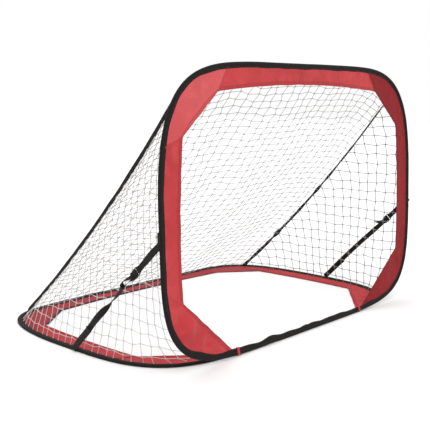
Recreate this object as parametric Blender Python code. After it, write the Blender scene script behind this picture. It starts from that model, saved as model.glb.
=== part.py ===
"""Pop-up goal: two flat spring hoops in cloth sleeves, tied along the ground at the front.

The front hoop stands up and carries the goal mouth, the base hoop lies on the ground, and a net of three
panels runs between them. Two side straps with ladder-lock buckles set how far the front hoop stands up.
X runs to the right across the mouth, Y to the back and Z up; the ground is z = 0. Metres throughout.
"""
import math

import bpy
import numpy as np

# Driving sizes of the hoops
HOOP_WIDTH = 1.22
FRONT_HEIGHT = 0.80
BASE_DEPTH = 0.79
FRONT_LEAN = math.radians(2.2)
GAP = 0.0003                      # clearance between touching pieces

# Corner shape: |a / half_width|^power_a + |b / half_length|^power_b = 1, far half then near half
FRONT_POWERS = ((6.0, 2.8), (5.9, 4.2))
BASE_POWERS = ((8.2, 2.6), (5.7, 3.3))
OUTLINE_POINTS = 1440
TANGENT_REACH = 0.004             # half the length over which an outline's direction is taken
HOOP_STATIONS = 72

# Cloth sleeve, the flat steel band in it and the crimped ferrule that joins the band's ends
SLEEVE_WIDTH = 0.016
SLEEVE_WALL = 0.0008
BAND_WIDTH = 0.005
BAND_THICK = 0.001
FERRULE_WALL = 0.0004
FERRULE_LENGTH = 0.05
FERRULE_X = -0.18
BAND_END_GAP = 0.001

# Red cloth panels inside the hoops
PANEL_THICK = 0.001
PANEL_TUCK = 0.008                # how far a panel reaches into the sleeve
SEAM_GAP = 0.0005
SHORTEST_FACET = 0.005            # no hoop station comes nearer than this to a panel's end
END_SEAM_X = HOOP_WIDTH / 2 - 0.263    # outer end of the seams of the top (or rear) band
END_VERTEX_X = HOOP_WIDTH / 2 - 0.225  # inner corner beside that band
BAND_MID_WIDTH = 0.061            # hoop edge to inner edge, at the band's middle
BAND_END_WIDTH = 0.0795           # hoop edge line to the inner corner
SIDE_MID_WIDTH = 0.079
SIDE_FAR_SEAM = 0.585             # distance of the side band's seams from the hinge edge
SIDE_NEAR_SEAM = 0.217
SIDE_FAR_VERTEX = (0.090, 0.607)  # inset from the side, distance from the hinge edge
SIDE_NEAR_VERTEX = (0.085, 0.189)
NEAR_CORNER_X = {"left": HOOP_WIDTH / 2 - 0.270, "right": HOOP_WIDTH / 2 - 0.305}   # at the sleeve

# Hinge tapes
TAPE_X = {"left": 0.267 * HOOP_WIDTH, "right": 0.236 * HOOP_WIDTH}
TAPE_WIDTH = 0.010
TAPE_THICK = 0.0006
TAPE_FLOOR_GAP = 0.002

# Net and its two seam tapes
NET_THICK = 0.002
NET_BACK_SAG = 0.055
NET_SIDE_SAG = 0.030
NET_SEAM_SETBACK = 0.002
NET_NEAR_EDGE = 0.035             # where a side panel starts, from the hinge edge
RIB_WIDTH = 0.008
RIB_THICK = 0.001
RIB_SAG = 0.026
RIB_CLEAR = 0.0012                # stand-off over the crease between two net panels
RIB_TRIM = 0.012                  # share of the seam left bare at each end
RIB_TOP_X = HOOP_WIDTH / 2 - 0.090
RIB_BASE_X = {"left": HOOP_WIDTH / 2 - 0.107, "right": HOOP_WIDTH / 2 - 0.060}
NET_BACK_GRID = (16, 8)
NET_SIDE_GRID = (8, 6)

# Side straps: webbing, and where it meets the two hoops
STRAP_WIDTH = 0.018
STRAP_THICK = 0.0012
STRAP_FRONT_Z = 0.345
STRAP_BASE_Y = 0.352              # from the hinge edge
STRAP_OFFSET = 0.0036             # strap's middle plane, out from the hoop's side
STRAP_SEWN = 0.016                # length that lies against a sleeve
ANCHOR_LENGTH = 0.085             # doubled webbing at the base end
TAIL_LENGTH = 0.050
WRAP_LEAD = 0.012                 # length over which the webbing spreads to pass a buckle
TAIL_RISE = 0.004                 # how far the tail's end stands off the strap
WRAP_ROUNDING = 1.45              # bend of the webbing round a bar, as a share of its least clearance

# Ladder-lock buckle: three bars joined by two rails
BUCKLE_START = 0.098              # from the strap's front end
BUCKLE_BARS = (0.004, 0.005, 0.004)
BUCKLE_SLOT = 0.007
BUCKLE_RAIL = 0.003
BUCKLE_THICK = 0.0024

# Derived sizes
CAVITY_HALF = BAND_WIDTH / 2 + GAP + FERRULE_WALL + GAP
SLEEVE_HALF = CAVITY_HALF + SLEEVE_WALL
SLEEVE_THICK = 2 * SLEEVE_HALF
SLIT_HALF = PANEL_THICK / 2 + GAP
CAVITY_DEPTH = BAND_THICK + 2 * (FERRULE_WALL + 2 * GAP)
BAND_INSET = SLEEVE_WALL + GAP + FERRULE_WALL + GAP
FRONT_LIFT = 0.0005               # the base hoop carries the goal, the front hoop just clears the ground
HOOP_HALF = HOOP_WIDTH / 2
TAPE_PROUD = GAP + TAPE_THICK
TOTAL_DEPTH = TAPE_PROUD + SLEEVE_THICK + 2 * GAP + BASE_DEPTH
FRONT_FACE_Y = TAPE_PROUD - TOTAL_DEPTH / 2
HINGE_Y = FRONT_FACE_Y + SLEEVE_THICK + GAP
HINGE_Z = SLEEVE_THICK


class Hoop:
    """A rounded hoop outline in its own plane: a to the right, b away from the hinge edge."""

    def __init__(self, length, powers, origin, b_axis, w_axis):
        self.length = length
        self.origin = np.array(origin)
        self.b_axis = np.array(b_axis)
        self.w_axis = np.array(w_axis)
        self.points = outline(HOOP_HALF, length, powers)
        steps = np.linalg.norm(np.diff(self.points, axis=0), axis=1)
        self.arc = np.concatenate([[0.0], np.cumsum(steps)])
        self.total = self.arc[-1]

    def flat(self, s):
        """Point on the outline at arc length s from the middle of the hinge edge, going right."""
        s = s % self.total
        return np.array([np.interp(s, self.arc, self.points[:, k]) for k in (0, 1)])

    def inward(self, s):
        ahead = self.flat(s + TANGENT_REACH) - self.flat(s - TANGENT_REACH)
        ahead /= np.linalg.norm(ahead)
        return np.array([-ahead[1], ahead[0]])

    def space(self, ab, w=0.0):
        """World point for plane coordinates (a, b) at height w off the hoop's middle plane."""
        return self.origin + np.array([ab[0], 0, 0]) + self.b_axis * ab[1] + self.w_axis * w

    def station(self, s, u, w):
        """World point at arc length s, u inward from the hoop's edge and w off its plane."""
        return self.space(self.flat(s) + self.inward(s) * u, w)

    def arc_where(self, axis, value, side):
        """Arc length where the outline's far half (axis 0) or right or left side (axis 1) has a value."""
        signed = self.points[:, axis]
        if axis == 0:
            mask = self.points[:, 1] > self.length / 2
        else:
            mask = self.points[:, 0] * side > 0
        index = np.where(mask, np.abs(signed - value), np.inf).argmin()
        return self.arc[index]

    def near_arc_where(self, a):
        """Arc length where the near half of the outline has the given a."""
        mask = self.points[:, 1] < self.length / 2
        index = np.where(mask, np.abs(self.points[:, 0] - a), np.inf).argmin()
        return self.arc[index]

    def stations(self):
        """Arc lengths around the hoop, closer together where the outline turns."""
        tangent = np.diff(self.points, axis=0)
        heading = np.unwrap(np.arctan2(tangent[:, 1], tangent[:, 0]))
        turned = np.concatenate([[0.0], np.cumsum(np.abs(np.diff(heading))), [2 * math.pi]])
        weight = self.arc / self.total + turned / turned[-1]
        return np.interp(np.arange(HOOP_STATIONS) * weight[-1] / HOOP_STATIONS, weight, self.arc)


def outline(half, length, powers):
    """Closed outline that starts at the middle of the hinge edge and runs to the right."""
    points = []
    for i in range(OUTLINE_POINTS + 1):
        angle = 2 * math.pi * i / OUTLINE_POINTS - math.pi / 2
        c = math.cos(angle)
        s = math.sin(angle)
        power_a, power_b = powers[0] if s > 0 else powers[1]
        a = half * math.copysign(abs(c) ** (2 / power_a), c)
        b = length / 2 * (1 + math.copysign(abs(s) ** (2 / power_b), s))
        points.append((a, b))
    points[0] = points[-1] = (0.0, 0.0)
    return np.array(points)


def make_material(name, color, roughness, metallic=0.0):
    material = bpy.data.materials.new(name)
    material.use_nodes = True
    shader = material.node_tree.nodes["Principled BSDF"]
    shader.inputs["Base Color"].default_value = (*color, 1.0)
    shader.inputs["Roughness"].default_value = roughness
    shader.inputs["Metallic"].default_value = metallic
    return material


def make_object(name, points, faces, material, origin=(0, 0, 0)):
    """Object from world points, with its origin at the given place."""
    mesh = bpy.data.meshes.new(name)
    local = [tuple(np.array(p) - np.array(origin)) for p in points]
    mesh.from_pydata(local, [], faces)
    mesh.validate()
    mesh.materials.append(material)
    obj = bpy.data.objects.new(name, mesh)
    obj.location = origin
    bpy.context.scene.collection.objects.link(obj)
    return obj


def signed_volume(points, faces):
    """Volume inside the faces, negative when they point inward."""
    volume = 0.0
    for face in faces:
        for k in range(1, len(face) - 1):
            a, b, c = (np.array(points[i]) for i in (face[0], face[k], face[k + 1]))
            volume += float(np.dot(a, np.cross(b, c))) / 6
    return volume


def make_solid(name, points, faces, material, origin=(0, 0, 0)):
    """Closed solid whose faces all point outward, whichever way the loops ran."""
    center = np.mean(np.array(points), axis=0)
    if signed_volume([p - center for p in np.array(points)], faces) < 0:
        faces = [tuple(reversed(face)) for face in faces]
    return make_object(name, points, faces, material, origin)


def loft(rings, closed):
    """Points and faces through rings of equal point counts, capped unless the loft closes on itself."""
    count = len(rings[0])
    points = [p for ring in rings for p in ring]
    faces = []
    for i in range(len(rings) if closed else len(rings) - 1):
        here = i * count
        there = ((i + 1) % len(rings)) * count
        for k in range(count):
            n = (k + 1) % count
            faces.append((here + k, here + n, there + n, there + k))
    if not closed:
        faces.append(tuple(reversed(range(count))))
        faces.append(tuple(range(len(points) - count, len(points))))
    return points, faces


def tube_loft(outer_rings, inner_rings):
    """Open tube with a wall: outer and inner surfaces joined by a ring of faces at each end."""
    outer, outer_faces = loft(outer_rings, closed=False)
    inner, inner_faces = loft(inner_rings, closed=False)
    shift = len(outer)
    count = len(outer_rings[0])
    last = len(outer) - count
    faces = outer_faces[:-2]
    faces += [tuple(reversed([i + shift for i in face])) for face in inner_faces[:-2]]
    for k in range(count):
        n = (k + 1) % count
        faces.append((n, k, shift + k, shift + n))
        faces.append((last + k, last + n, shift + last + n, shift + last + k))
    return outer + inner, faces


def sheet_solid(grid, thick, closed_normals):
    """Closed solid of a grid of points thickened both ways along the given unit normals."""
    rows = len(grid)
    cols = len(grid[0])
    points = []
    for side in (-0.5, 0.5):
        for i in range(rows):
            for j in range(cols):
                points.append(grid[i][j] + closed_normals[i][j] * thick * side)
    shift = rows * cols
    faces = []
    for i in range(rows - 1):
        for j in range(cols - 1):
            a = i * cols + j
            quad = (a, a + 1, a + cols + 1, a + cols)
            faces.append(tuple(reversed(quad)))
            faces.append(tuple(q + shift for q in quad))
    rim = [j for j in range(cols)]
    rim += [i * cols + cols - 1 for i in range(1, rows)]
    rim += [(rows - 1) * cols + j for j in range(cols - 2, -1, -1)]
    rim += [i * cols for i in range(rows - 2, 0, -1)]
    for k, a in enumerate(rim):
        b = rim[(k + 1) % len(rim)]
        faces.append((a, b, b + shift, a + shift))
    return points, faces


def grid_normals(grid):
    """Unit normals of a grid of points."""
    array = np.array(grid)
    along = np.gradient(array, axis=0)
    across = np.gradient(array, axis=1)
    normal = np.cross(along, across)
    return normal / np.linalg.norm(normal, axis=2, keepdims=True)


def sleeve_section():
    """Folded sleeve: round over the steel band, pinched flat on both faces of the panel, open inward."""
    cavity_end = SLEEVE_WALL + CAVITY_DEPTH
    shoulder = cavity_end + SLEEVE_WALL
    pinch = shoulder + 1.2 * SLEEVE_HALF
    flap = SLIT_HALF + SLEEVE_WALL
    outer = [
        (0.0, 0.6 * SLEEVE_HALF),
        (0.12 * SLEEVE_HALF, 0.87 * SLEEVE_HALF),
        (0.33 * SLEEVE_HALF, SLEEVE_HALF),
        (shoulder, SLEEVE_HALF),
        (pinch, 1.15 * flap),
        (SLEEVE_WIDTH, flap),
    ]
    inner = [
        (SLEEVE_WIDTH, SLIT_HALF),
        (shoulder, SLIT_HALF),
        (cavity_end, CAVITY_HALF),
        (SLEEVE_WALL, CAVITY_HALF),
    ]
    upper = outer + inner
    lower = [(u, -v) for u, v in reversed(upper)]
    return upper + lower


def box_section(u0, u1, half):
    return [(u0, half), (u1, half), (u1, -half), (u0, -half)]


def swept_rings(hoop, section, arcs):
    return [[hoop.station(s, u, v) for u, v in section] for s in arcs]


def add_sleeve(name, hoop, material):
    points, faces = loft(swept_rings(hoop, sleeve_section(), hoop.stations()), closed=True)
    return make_solid(name, points, faces, material)


def add_spring_band(name, hoop, material):
    """Flat steel band, its ends a small gap apart inside the ferrule."""
    joint = hoop.near_arc_where(FERRULE_X)
    start = joint + BAND_END_GAP / 2
    end = joint - BAND_END_GAP / 2 + hoop.total
    middle = [s for base in (0.0, hoop.total) for s in hoop.stations() + base]
    arcs = [start] + [s for s in middle if start + GAP < s < end - GAP] + [end]
    section = box_section(BAND_INSET, BAND_INSET + BAND_THICK, BAND_WIDTH / 2)
    points, faces = loft(swept_rings(hoop, section, arcs), closed=False)
    return make_solid(name, points, faces, material)


def add_ferrule(name, hoop, material):
    joint = hoop.near_arc_where(FERRULE_X)
    inner = box_section(BAND_INSET - GAP, BAND_INSET + BAND_THICK + GAP, BAND_WIDTH / 2 + GAP)
    outer = box_section(BAND_INSET - GAP - FERRULE_WALL, BAND_INSET + BAND_THICK + GAP + FERRULE_WALL,
                        BAND_WIDTH / 2 + GAP + FERRULE_WALL)
    arcs = [joint - FERRULE_LENGTH / 2, joint, joint + FERRULE_LENGTH / 2]
    points, faces = tube_loft(swept_rings(hoop, outer, arcs), swept_rings(hoop, inner, arcs))
    return make_solid(name, points, faces, material)


def add_panel(name, hoop, start, end, inner_points, material):
    """Flat cloth panel from the sleeve's slit, between two arc lengths, to an inner edge."""
    start += SEAM_GAP / 2
    end -= SEAM_GAP / 2
    arcs = [start] + [s for s in hoop.stations() if start + SHORTEST_FACET < s < end - SHORTEST_FACET] + [end]
    edge = np.array(inner_points)
    along = np.concatenate([[0.0], np.cumsum(np.linalg.norm(np.diff(edge, axis=0), axis=1))])
    inset = SEAM_GAP / 2
    wanted = inset + (np.array(arcs) - start) / (end - start) * (along[-1] - 2 * inset)
    grid = []
    for s, t in zip(arcs, wanted):
        tucked = hoop.flat(s) + hoop.inward(s) * (SLEEVE_WIDTH - PANEL_TUCK)
        inner = [np.interp(t, along, edge[:, k]) for k in (0, 1)]
        grid.append([hoop.space(tucked), hoop.space(inner)])
    normals = [[hoop.w_axis, hoop.w_axis] for _ in grid]
    points, faces = sheet_solid(grid, PANEL_THICK, normals)
    return make_solid(name, points, faces, material)


def bowed(first, last, middle_shift, count=6):
    """Points of a shallow parabola from first to last, its middle moved by middle_shift."""
    first = np.array(first)
    last = np.array(last)
    points = []
    for i in range(count + 1):
        t = i / count
        points.append(first + (last - first) * t + np.array(middle_shift) * 4 * t * (1 - t))
    return points


def add_panels(prefix, far_name, near_name, hoop, material):
    """Far band, two side bands and four corner panels, from the right near corner round to the left."""
    far_vertex_b = hoop.length - BAND_END_WIDTH
    far_bow = BAND_END_WIDTH - BAND_MID_WIDTH
    sleeve_edge = SLEEVE_WIDTH + GAP
    arcs = {}
    for word, side in (("right", 1), ("left", -1)):
        arcs[word] = {
            "near": hoop.near_arc_where(side * NEAR_CORNER_X[word]),
            "side_near": hoop.arc_where(1, SIDE_NEAR_SEAM, side),
            "side_far": hoop.arc_where(1, SIDE_FAR_SEAM, side),
            "far": hoop.arc_where(0, side * END_SEAM_X, side),
        }
    for word, side in (("right", 1), ("left", -1)):
        near_run_out = (side * NEAR_CORNER_X[word], sleeve_edge)
        near_vertex = (side * (HOOP_HALF - SIDE_NEAR_VERTEX[0]), SIDE_NEAR_VERTEX[1])
        far_vertex = (side * (HOOP_HALF - SIDE_FAR_VERTEX[0]), SIDE_FAR_VERTEX[1])
        end_vertex = (side * END_VERTEX_X, far_vertex_b)
        side_shift = (side * (SIDE_FAR_VERTEX[0] + SIDE_NEAR_VERTEX[0] - 2 * SIDE_MID_WIDTH) / 2, 0)
        pieces = [
            (f"corner_{near_name}_{word}", "near", "side_near", [near_run_out, near_vertex]),
            (f"band_{word}", "side_near", "side_far", bowed(near_vertex, far_vertex, side_shift)),
            (f"corner_{far_name}_{word}", "side_far", "far", [far_vertex, end_vertex]),
        ]
        for piece, first, second, edge in pieces:
            limits = (arcs[word][first], arcs[word][second])
            if side < 0:
                limits = limits[::-1]
                edge = list(reversed(edge))
            add_panel(f"{prefix}_{piece}", hoop, *limits, edge, material)
    far_edge = bowed((END_VERTEX_X, far_vertex_b), (-END_VERTEX_X, far_vertex_b), (0, far_bow))
    far_limits = (arcs["right"]["far"], arcs["left"]["far"])
    add_panel(f"{prefix}_band_{far_name}", hoop, *far_limits, far_edge, material)


def ribbon_rings(path, thick, half_width, place):
    """Section rings of a strip: path is a 2D polyline, place turns (s, n, across) into world points."""
    path = np.array(path)
    count = len(path)
    sides = [[], []]
    for i in range(count):
        before = path[i] - path[max(i - 1, 0)]
        after = path[min(i + 1, count - 1)] - path[i]
        before = before if np.linalg.norm(before) > 0 else after
        after = after if np.linalg.norm(after) > 0 else before
        before = before / np.linalg.norm(before)
        after = after / np.linalg.norm(after)
        normal = np.array([-(before + after)[1], (before + after)[0]])
        normal /= np.linalg.norm(normal)
        stretch = 1 / max(0.5, float(np.dot(normal, [-after[1], after[0]])))
        for k, sign in enumerate((1, -1)):
            sides[k].append(path[i] + normal * sign * stretch * thick / 2)
    rings = []
    for upper, lower in zip(*sides):
        rings.append([
            place(upper[0], upper[1], half_width),
            place(upper[0], upper[1], -half_width),
            place(lower[0], lower[1], -half_width),
            place(lower[0], lower[1], half_width),
        ])
    return rings


def add_ribbon(name, path, thick, width, place, material):
    points, faces = loft(ribbon_rings(path, thick, width / 2, place), closed=False)
    return make_solid(name, points, faces, material)


def add_hinge_tape(name, x, front, base, material):
    """Red tape sewn on the base sleeve, over both bars and down the front of the front bar."""
    clear = GAP + TAPE_THICK / 2
    outer_x = math.copysign(abs(x) + TAPE_WIDTH / 2, x)
    front_lift = FRONT_LIFT + front.flat(front.near_arc_where(outer_x))[1]
    base_y = HINGE_Y + GAP + base.flat(base.near_arc_where(outer_x))[1]
    front_top = front_lift + SLEEVE_WIDTH
    front_y = FRONT_FACE_Y - clear
    lean = math.tan(FRONT_LEAN)
    flap = SLIT_HALF + SLEEVE_WALL
    shoulder = SLEEVE_WALL + CAVITY_DEPTH + SLEEVE_WALL
    middle_y = FRONT_FACE_Y + SLEEVE_HALF + front_top * lean
    round_off = 1.5 * clear
    path = [
        (front_y, TAPE_FLOOR_GAP),
        (front_y + lean * FRONT_LIFT, front_lift + 0.6 * shoulder),
        (front_y + 2 * lean * shoulder, front_lift + shoulder + clear),
        (middle_y - flap - round_off, front_top),
        (middle_y - flap, front_top + round_off),
        (middle_y + flap, front_top + round_off),
        (middle_y + flap + round_off, front_top),
        (HINGE_Y + 3 * clear, SLEEVE_THICK + 1.5 * clear),
        (base_y + shoulder + clear, SLEEVE_THICK + 1.2 * clear),
        (base_y + SLEEVE_WIDTH, SLEEVE_HALF + 1.4 * flap + clear),
    ]

    def place(y, z, across):
        return np.array([x + across, y, z])

    return add_ribbon(name, path, TAPE_THICK, TAPE_WIDTH, place, material)


def net_front_edge(front, s):
    return front.station(s, BAND_INSET, SLEEVE_HALF + GAP + NET_THICK / 2)


def net_base_edge(base, s):
    return base.station(s, BAND_INSET, SLEEVE_HALF + GAP + NET_THICK / 2)


def net_panel(front_arcs, base_arcs, front, base, grid_size, sag_at):
    """Grid of points from the front hoop to the base hoop; sag_at(i, t) moves a point inward."""
    columns, rows = grid_size
    grid = []
    for i in range(columns + 1):
        share = i / columns
        top = net_front_edge(front, np.interp(share, (0, 1), front_arcs))
        foot = net_base_edge(base, np.interp(share, (0, 1), base_arcs))
        grid.append([top + (foot - top) * t + sag_at(share, t) for t in np.linspace(0, 1, rows + 1)])
    return grid


def add_net(front, base, material, rib_material):
    """Back panel, two side panels and the tape on each seam between them."""
    top = {}
    foot = {}
    near_top = {}
    near_foot = {}
    for word, side in (("right", 1), ("left", -1)):
        top[word] = front.arc_where(0, side * RIB_TOP_X, side)
        foot[word] = base.arc_where(0, side * RIB_BASE_X[word], side)
        near_top[word] = front.arc_where(1, NET_NEAR_EDGE, side)
        near_foot[word] = base.arc_where(1, NET_NEAR_EDGE, side)
    back_inward = np.array([0.0, -FRONT_HEIGHT, -BASE_DEPTH])
    back_inward /= np.linalg.norm(back_inward)

    def back_sag(share, t):
        depth = RIB_SAG + (NET_BACK_SAG - RIB_SAG) * math.sin(math.pi * share)
        return back_inward * depth * 4 * t * (1 - t)

    setback = NET_SEAM_SETBACK
    grid = net_panel((top["right"] + setback, top["left"] - setback),
                     (foot["right"] + setback, foot["left"] - setback),
                     front, base, NET_BACK_GRID, back_sag)
    add_sheet("net_back", grid, NET_THICK, material)

    for word, side in (("right", 1), ("left", -1)):
        def side_sag(share, t, side=side):
            seam = max(0.0, share) ** 2
            middle = math.sin(math.pi * min(1.0, share))
            sideways = np.array([-side * NET_SIDE_SAG * middle, 0, 0])
            return (back_inward * RIB_SAG * seam + sideways) * 4 * t * (1 - t)

        grid = net_panel((near_top[word], top[word] - side * setback),
                         (near_foot[word], foot[word] - side * setback),
                         front, base, NET_SIDE_GRID, side_sag)
        add_sheet(f"net_{word}", grid, NET_THICK, material)
        seam = (top[word], foot[word])
        add_rib_tape(f"rib_tape_{word}", front, base, side, seam, back_inward, rib_material)


def add_sheet(name, grid, thick, material):
    points, faces = sheet_solid(grid, thick, grid_normals(grid))
    return make_solid(name, points, faces, material)


def add_rib_tape(name, front, base, side, arcs, back_inward, material):
    """Tape over the outside of a net seam, facing out between the two panels."""
    top = net_front_edge(front, arcs[0])
    foot = net_base_edge(base, arcs[1])
    outward = np.array([side, 0, 0]) - back_inward
    outward /= np.linalg.norm(outward)
    lift = outward * (math.sqrt(2) * NET_THICK / 2 + RIB_CLEAR + RIB_THICK)
    grid = []
    for t in np.linspace(RIB_TRIM, 1 - RIB_TRIM, NET_BACK_GRID[1] + 1):
        middle = top + (foot - top) * t + back_inward * RIB_SAG * 4 * t * (1 - t) + lift
        across = np.cross(outward, foot - top)
        across /= np.linalg.norm(across)
        grid.append([middle - across * RIB_WIDTH / 2, middle + across * RIB_WIDTH / 2])
    return add_sheet(name, grid, RIB_THICK, material)


class StrapFrame:
    """Straight line of a side strap: s down the strap, n outward, across its width."""

    def __init__(self, side):
        self.side = side
        foot_z = STRAP_WIDTH / 2 * math.sqrt(0.5) + 2 * GAP
        start_y = FRONT_FACE_Y + STRAP_WIDTH / 2 * math.sqrt(0.5) + STRAP_FRONT_Z * math.tan(FRONT_LEAN)
        plane_x = side * (HOOP_HALF + STRAP_OFFSET)
        self.start = np.array([plane_x, start_y, STRAP_FRONT_Z])
        end = np.array([plane_x, HINGE_Y + STRAP_BASE_Y, foot_z])
        self.length = float(np.linalg.norm(end - self.start))
        self.along = (end - self.start) / self.length
        self.outward = np.array([side, 0.0, 0.0])
        self.across = np.cross(self.along, self.outward)

    def place(self, s, n, across):
        return self.start + self.along * s + self.outward * n + self.across * across


def buckle_marks():
    """Start and end of each buckle bar along the strap."""
    marks = []
    s = BUCKLE_START
    for bar in BUCKLE_BARS:
        marks.append((s, s + bar))
        s += bar + BUCKLE_SLOT
    return marks


def add_buckle_webbing(name, frame, material):
    """Doubled webbing from the front hoop, looped round the buckle's first bar."""
    lie = STRAP_THICK / 2
    near = lie + GAP / 2
    bend = WRAP_ROUNDING * (GAP + lie)
    wrap = BUCKLE_THICK / 2 + bend
    against = -STRAP_OFFSET + GAP + lie
    bar_start, bar_end = buckle_marks()[0]
    inner = [
        (0.0, against),
        (STRAP_SEWN, against),
        (2 * STRAP_SEWN, -near),
        (bar_start - WRAP_LEAD, -near),
        (bar_start - bend, -wrap),
        (bar_end, -wrap),
        (bar_end + bend, -BUCKLE_THICK / 2),
    ]
    outer = [
        (bar_end + bend, BUCKLE_THICK / 2),
        (bar_end, wrap),
        (bar_start - bend, wrap),
        (bar_start - WRAP_LEAD, near),
        (2 * STRAP_SEWN, near),
        (STRAP_SEWN, against + 2 * near),
        (0.0, against + 2 * near),
    ]
    return add_ribbon(name, inner + outer, STRAP_THICK, STRAP_WIDTH, frame.place, material)


def add_strap_webbing(name, frame, material):
    """Long webbing from the base hoop, up behind the buckle, round its middle bar and back as a tail."""
    lie = STRAP_THICK / 2
    bend = WRAP_ROUNDING * (GAP + lie)
    wrap = BUCKLE_THICK / 2 + bend
    against = -STRAP_OFFSET + GAP + lie
    bar_start = buckle_marks()[1][0]
    lower_end = buckle_marks()[2][1]
    path = [
        (frame.length, against),
        (frame.length - STRAP_SEWN, against),
        (frame.length - 2 * STRAP_SEWN, -lie),
        (lower_end + 2.5 * WRAP_LEAD, -lie),
        (lower_end + WRAP_LEAD / 2, -wrap),
        (bar_start, -wrap),
        (bar_start - bend, -BUCKLE_THICK / 2),
        (bar_start - bend, BUCKLE_THICK / 2),
        (bar_start, wrap),
        (lower_end + WRAP_LEAD / 6, wrap),
        (lower_end + TAIL_LENGTH, wrap + TAIL_RISE),
    ]
    return add_ribbon(name, path, STRAP_THICK, STRAP_WIDTH, frame.place, material)


def add_strap_anchor(name, frame, material):
    """Second layer of webbing sewn over the strap's base end."""
    lie = STRAP_THICK / 2
    against = -STRAP_OFFSET + GAP + lie + STRAP_THICK + GAP
    path = [
        (frame.length, against),
        (frame.length - STRAP_SEWN, against),
        (frame.length - 2 * STRAP_SEWN, STRAP_THICK + GAP - lie),
        (frame.length - ANCHOR_LENGTH, STRAP_THICK + GAP - lie),
    ]
    return add_ribbon(name, path, STRAP_THICK, STRAP_WIDTH, frame.place, material)


def add_buckle(name, frame, material):
    """Ladder-lock buckle: a plate with two slots, turning about its first bar."""
    marks = buckle_marks()
    cuts = [marks[0][0], marks[0][1], marks[1][0], marks[1][1], marks[2][0], marks[2][1]]
    inner_half = STRAP_WIDTH / 2 + 2 * GAP
    sides = [-inner_half - BUCKLE_RAIL, -inner_half, inner_half, inner_half + BUCKLE_RAIL]
    half = BUCKLE_THICK / 2
    index = {}
    points = []
    for i, s in enumerate(cuts):
        for j, across in enumerate(sides):
            for k, n in enumerate((-half, half)):
                index[i, j, k] = len(points)
                points.append(frame.place(s, n, across))
    faces = []
    solid = {(i, j) for i in range(5) for j in range(3)} - {(1, 1), (3, 1)}
    for i, j in sorted(solid):
        corners = [(i, j), (i + 1, j), (i + 1, j + 1), (i, j + 1)]
        faces.append(tuple(index[a, b, 1] for a, b in corners))
        faces.append(tuple(index[a, b, 0] for a, b in reversed(corners)))
        neighbours = [(i, j - 1), (i + 1, j), (i, j + 1), (i - 1, j)]
        for edge, neighbour in enumerate(neighbours):
            if neighbour in solid:
                continue
            a = corners[edge]
            b = corners[(edge + 1) % 4]
            faces.append((index[(*a, 0)], index[(*b, 0)], index[(*b, 1)], index[(*a, 1)]))
    pivot = frame.place(sum(marks[0]) / 2, 0, 0)
    return make_solid(name, points, faces, material, origin=tuple(pivot))


def hinge_empty(name):
    empty = bpy.data.objects.new(name, None)
    empty.location = (0, HINGE_Y, HINGE_Z)
    bpy.context.scene.collection.objects.link(empty)
    return empty


def parent_to(empty, prefix):
    """Hang the named pieces on the empty that sits on their joint's axis, leaving them in place."""
    bpy.context.view_layer.update()
    for obj in bpy.data.objects:
        if obj.type == "MESH" and obj.name.startswith(prefix):
            obj.parent = empty
            obj.matrix_parent_inverse = empty.matrix_world.inverted()


def main():
    for obj in list(bpy.data.objects):
        bpy.data.objects.remove(obj)
    red = make_material("red_cloth", (0.62, 0.045, 0.055), 0.62)
    black = make_material("black_sleeve", (0.022, 0.020, 0.020), 0.75)
    webbing = make_material("black_webbing", (0.018, 0.016, 0.016), 0.8)
    tape = make_material("red_tape", (0.60, 0.03, 0.05), 0.55)
    net = make_material("white_net", (0.78, 0.76, 0.75), 0.7)
    plastic = make_material("buckle_plastic", (0.05, 0.045, 0.04), 0.4)
    steel = make_material("spring_steel", (0.5, 0.5, 0.5), 0.35, 1.0)

    lean_sin = math.sin(FRONT_LEAN)
    lean_cos = math.cos(FRONT_LEAN)
    front = Hoop(FRONT_HEIGHT, FRONT_POWERS, (0, FRONT_FACE_Y + SLEEVE_HALF, FRONT_LIFT),
                 (0, lean_sin, lean_cos), (0, lean_cos, -lean_sin))
    base = Hoop(BASE_DEPTH, BASE_POWERS, (0, HINGE_Y + GAP, SLEEVE_HALF), (0, 1, 0), (0, 0, 1))
    hoops = (("front", "top", "bottom", front), ("base", "rear", "front", base))
    for prefix, far_name, near_name, hoop in hoops:
        add_sleeve(f"{prefix}_sleeve", hoop, black)
        add_spring_band(f"{prefix}_spring_band", hoop, steel)
        add_ferrule(f"{prefix}_ferrule", hoop, steel)
        add_panels(prefix, far_name, near_name, hoop, red)
    add_net(front, base, net, webbing)
    for word, side in (("right", 1), ("left", -1)):
        frame = StrapFrame(side)
        add_hinge_tape(f"hinge_tape_{word}", side * TAPE_X[word], front, base, tape)
        add_buckle_webbing(f"{word}_buckle_webbing", frame, webbing)
        add_strap_webbing(f"{word}_strap_webbing", frame, webbing)
        add_strap_anchor(f"{word}_strap_anchor", frame, webbing)
        add_buckle(f"{word}_buckle", frame, plastic)
    parent_to(hinge_empty("fold_axis"), "front_")
    parent_to(hinge_empty("strap_axis"), ("left_buckle", "right_buckle"))


main()
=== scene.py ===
"""Looks of the pop-up goal: cloth, net, webbing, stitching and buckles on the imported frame.

Metres, +Z up, X to the right across the mouth and Y to the back. "s" is a length along a hoop or strap,
"u" is inward from a hoop's edge and "w" is off a hoop's plane.
"""

import math

import bpy
import numpy as np
from mathutils import Matrix, Vector
from mathutils.bvhtree import BVHTree


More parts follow.
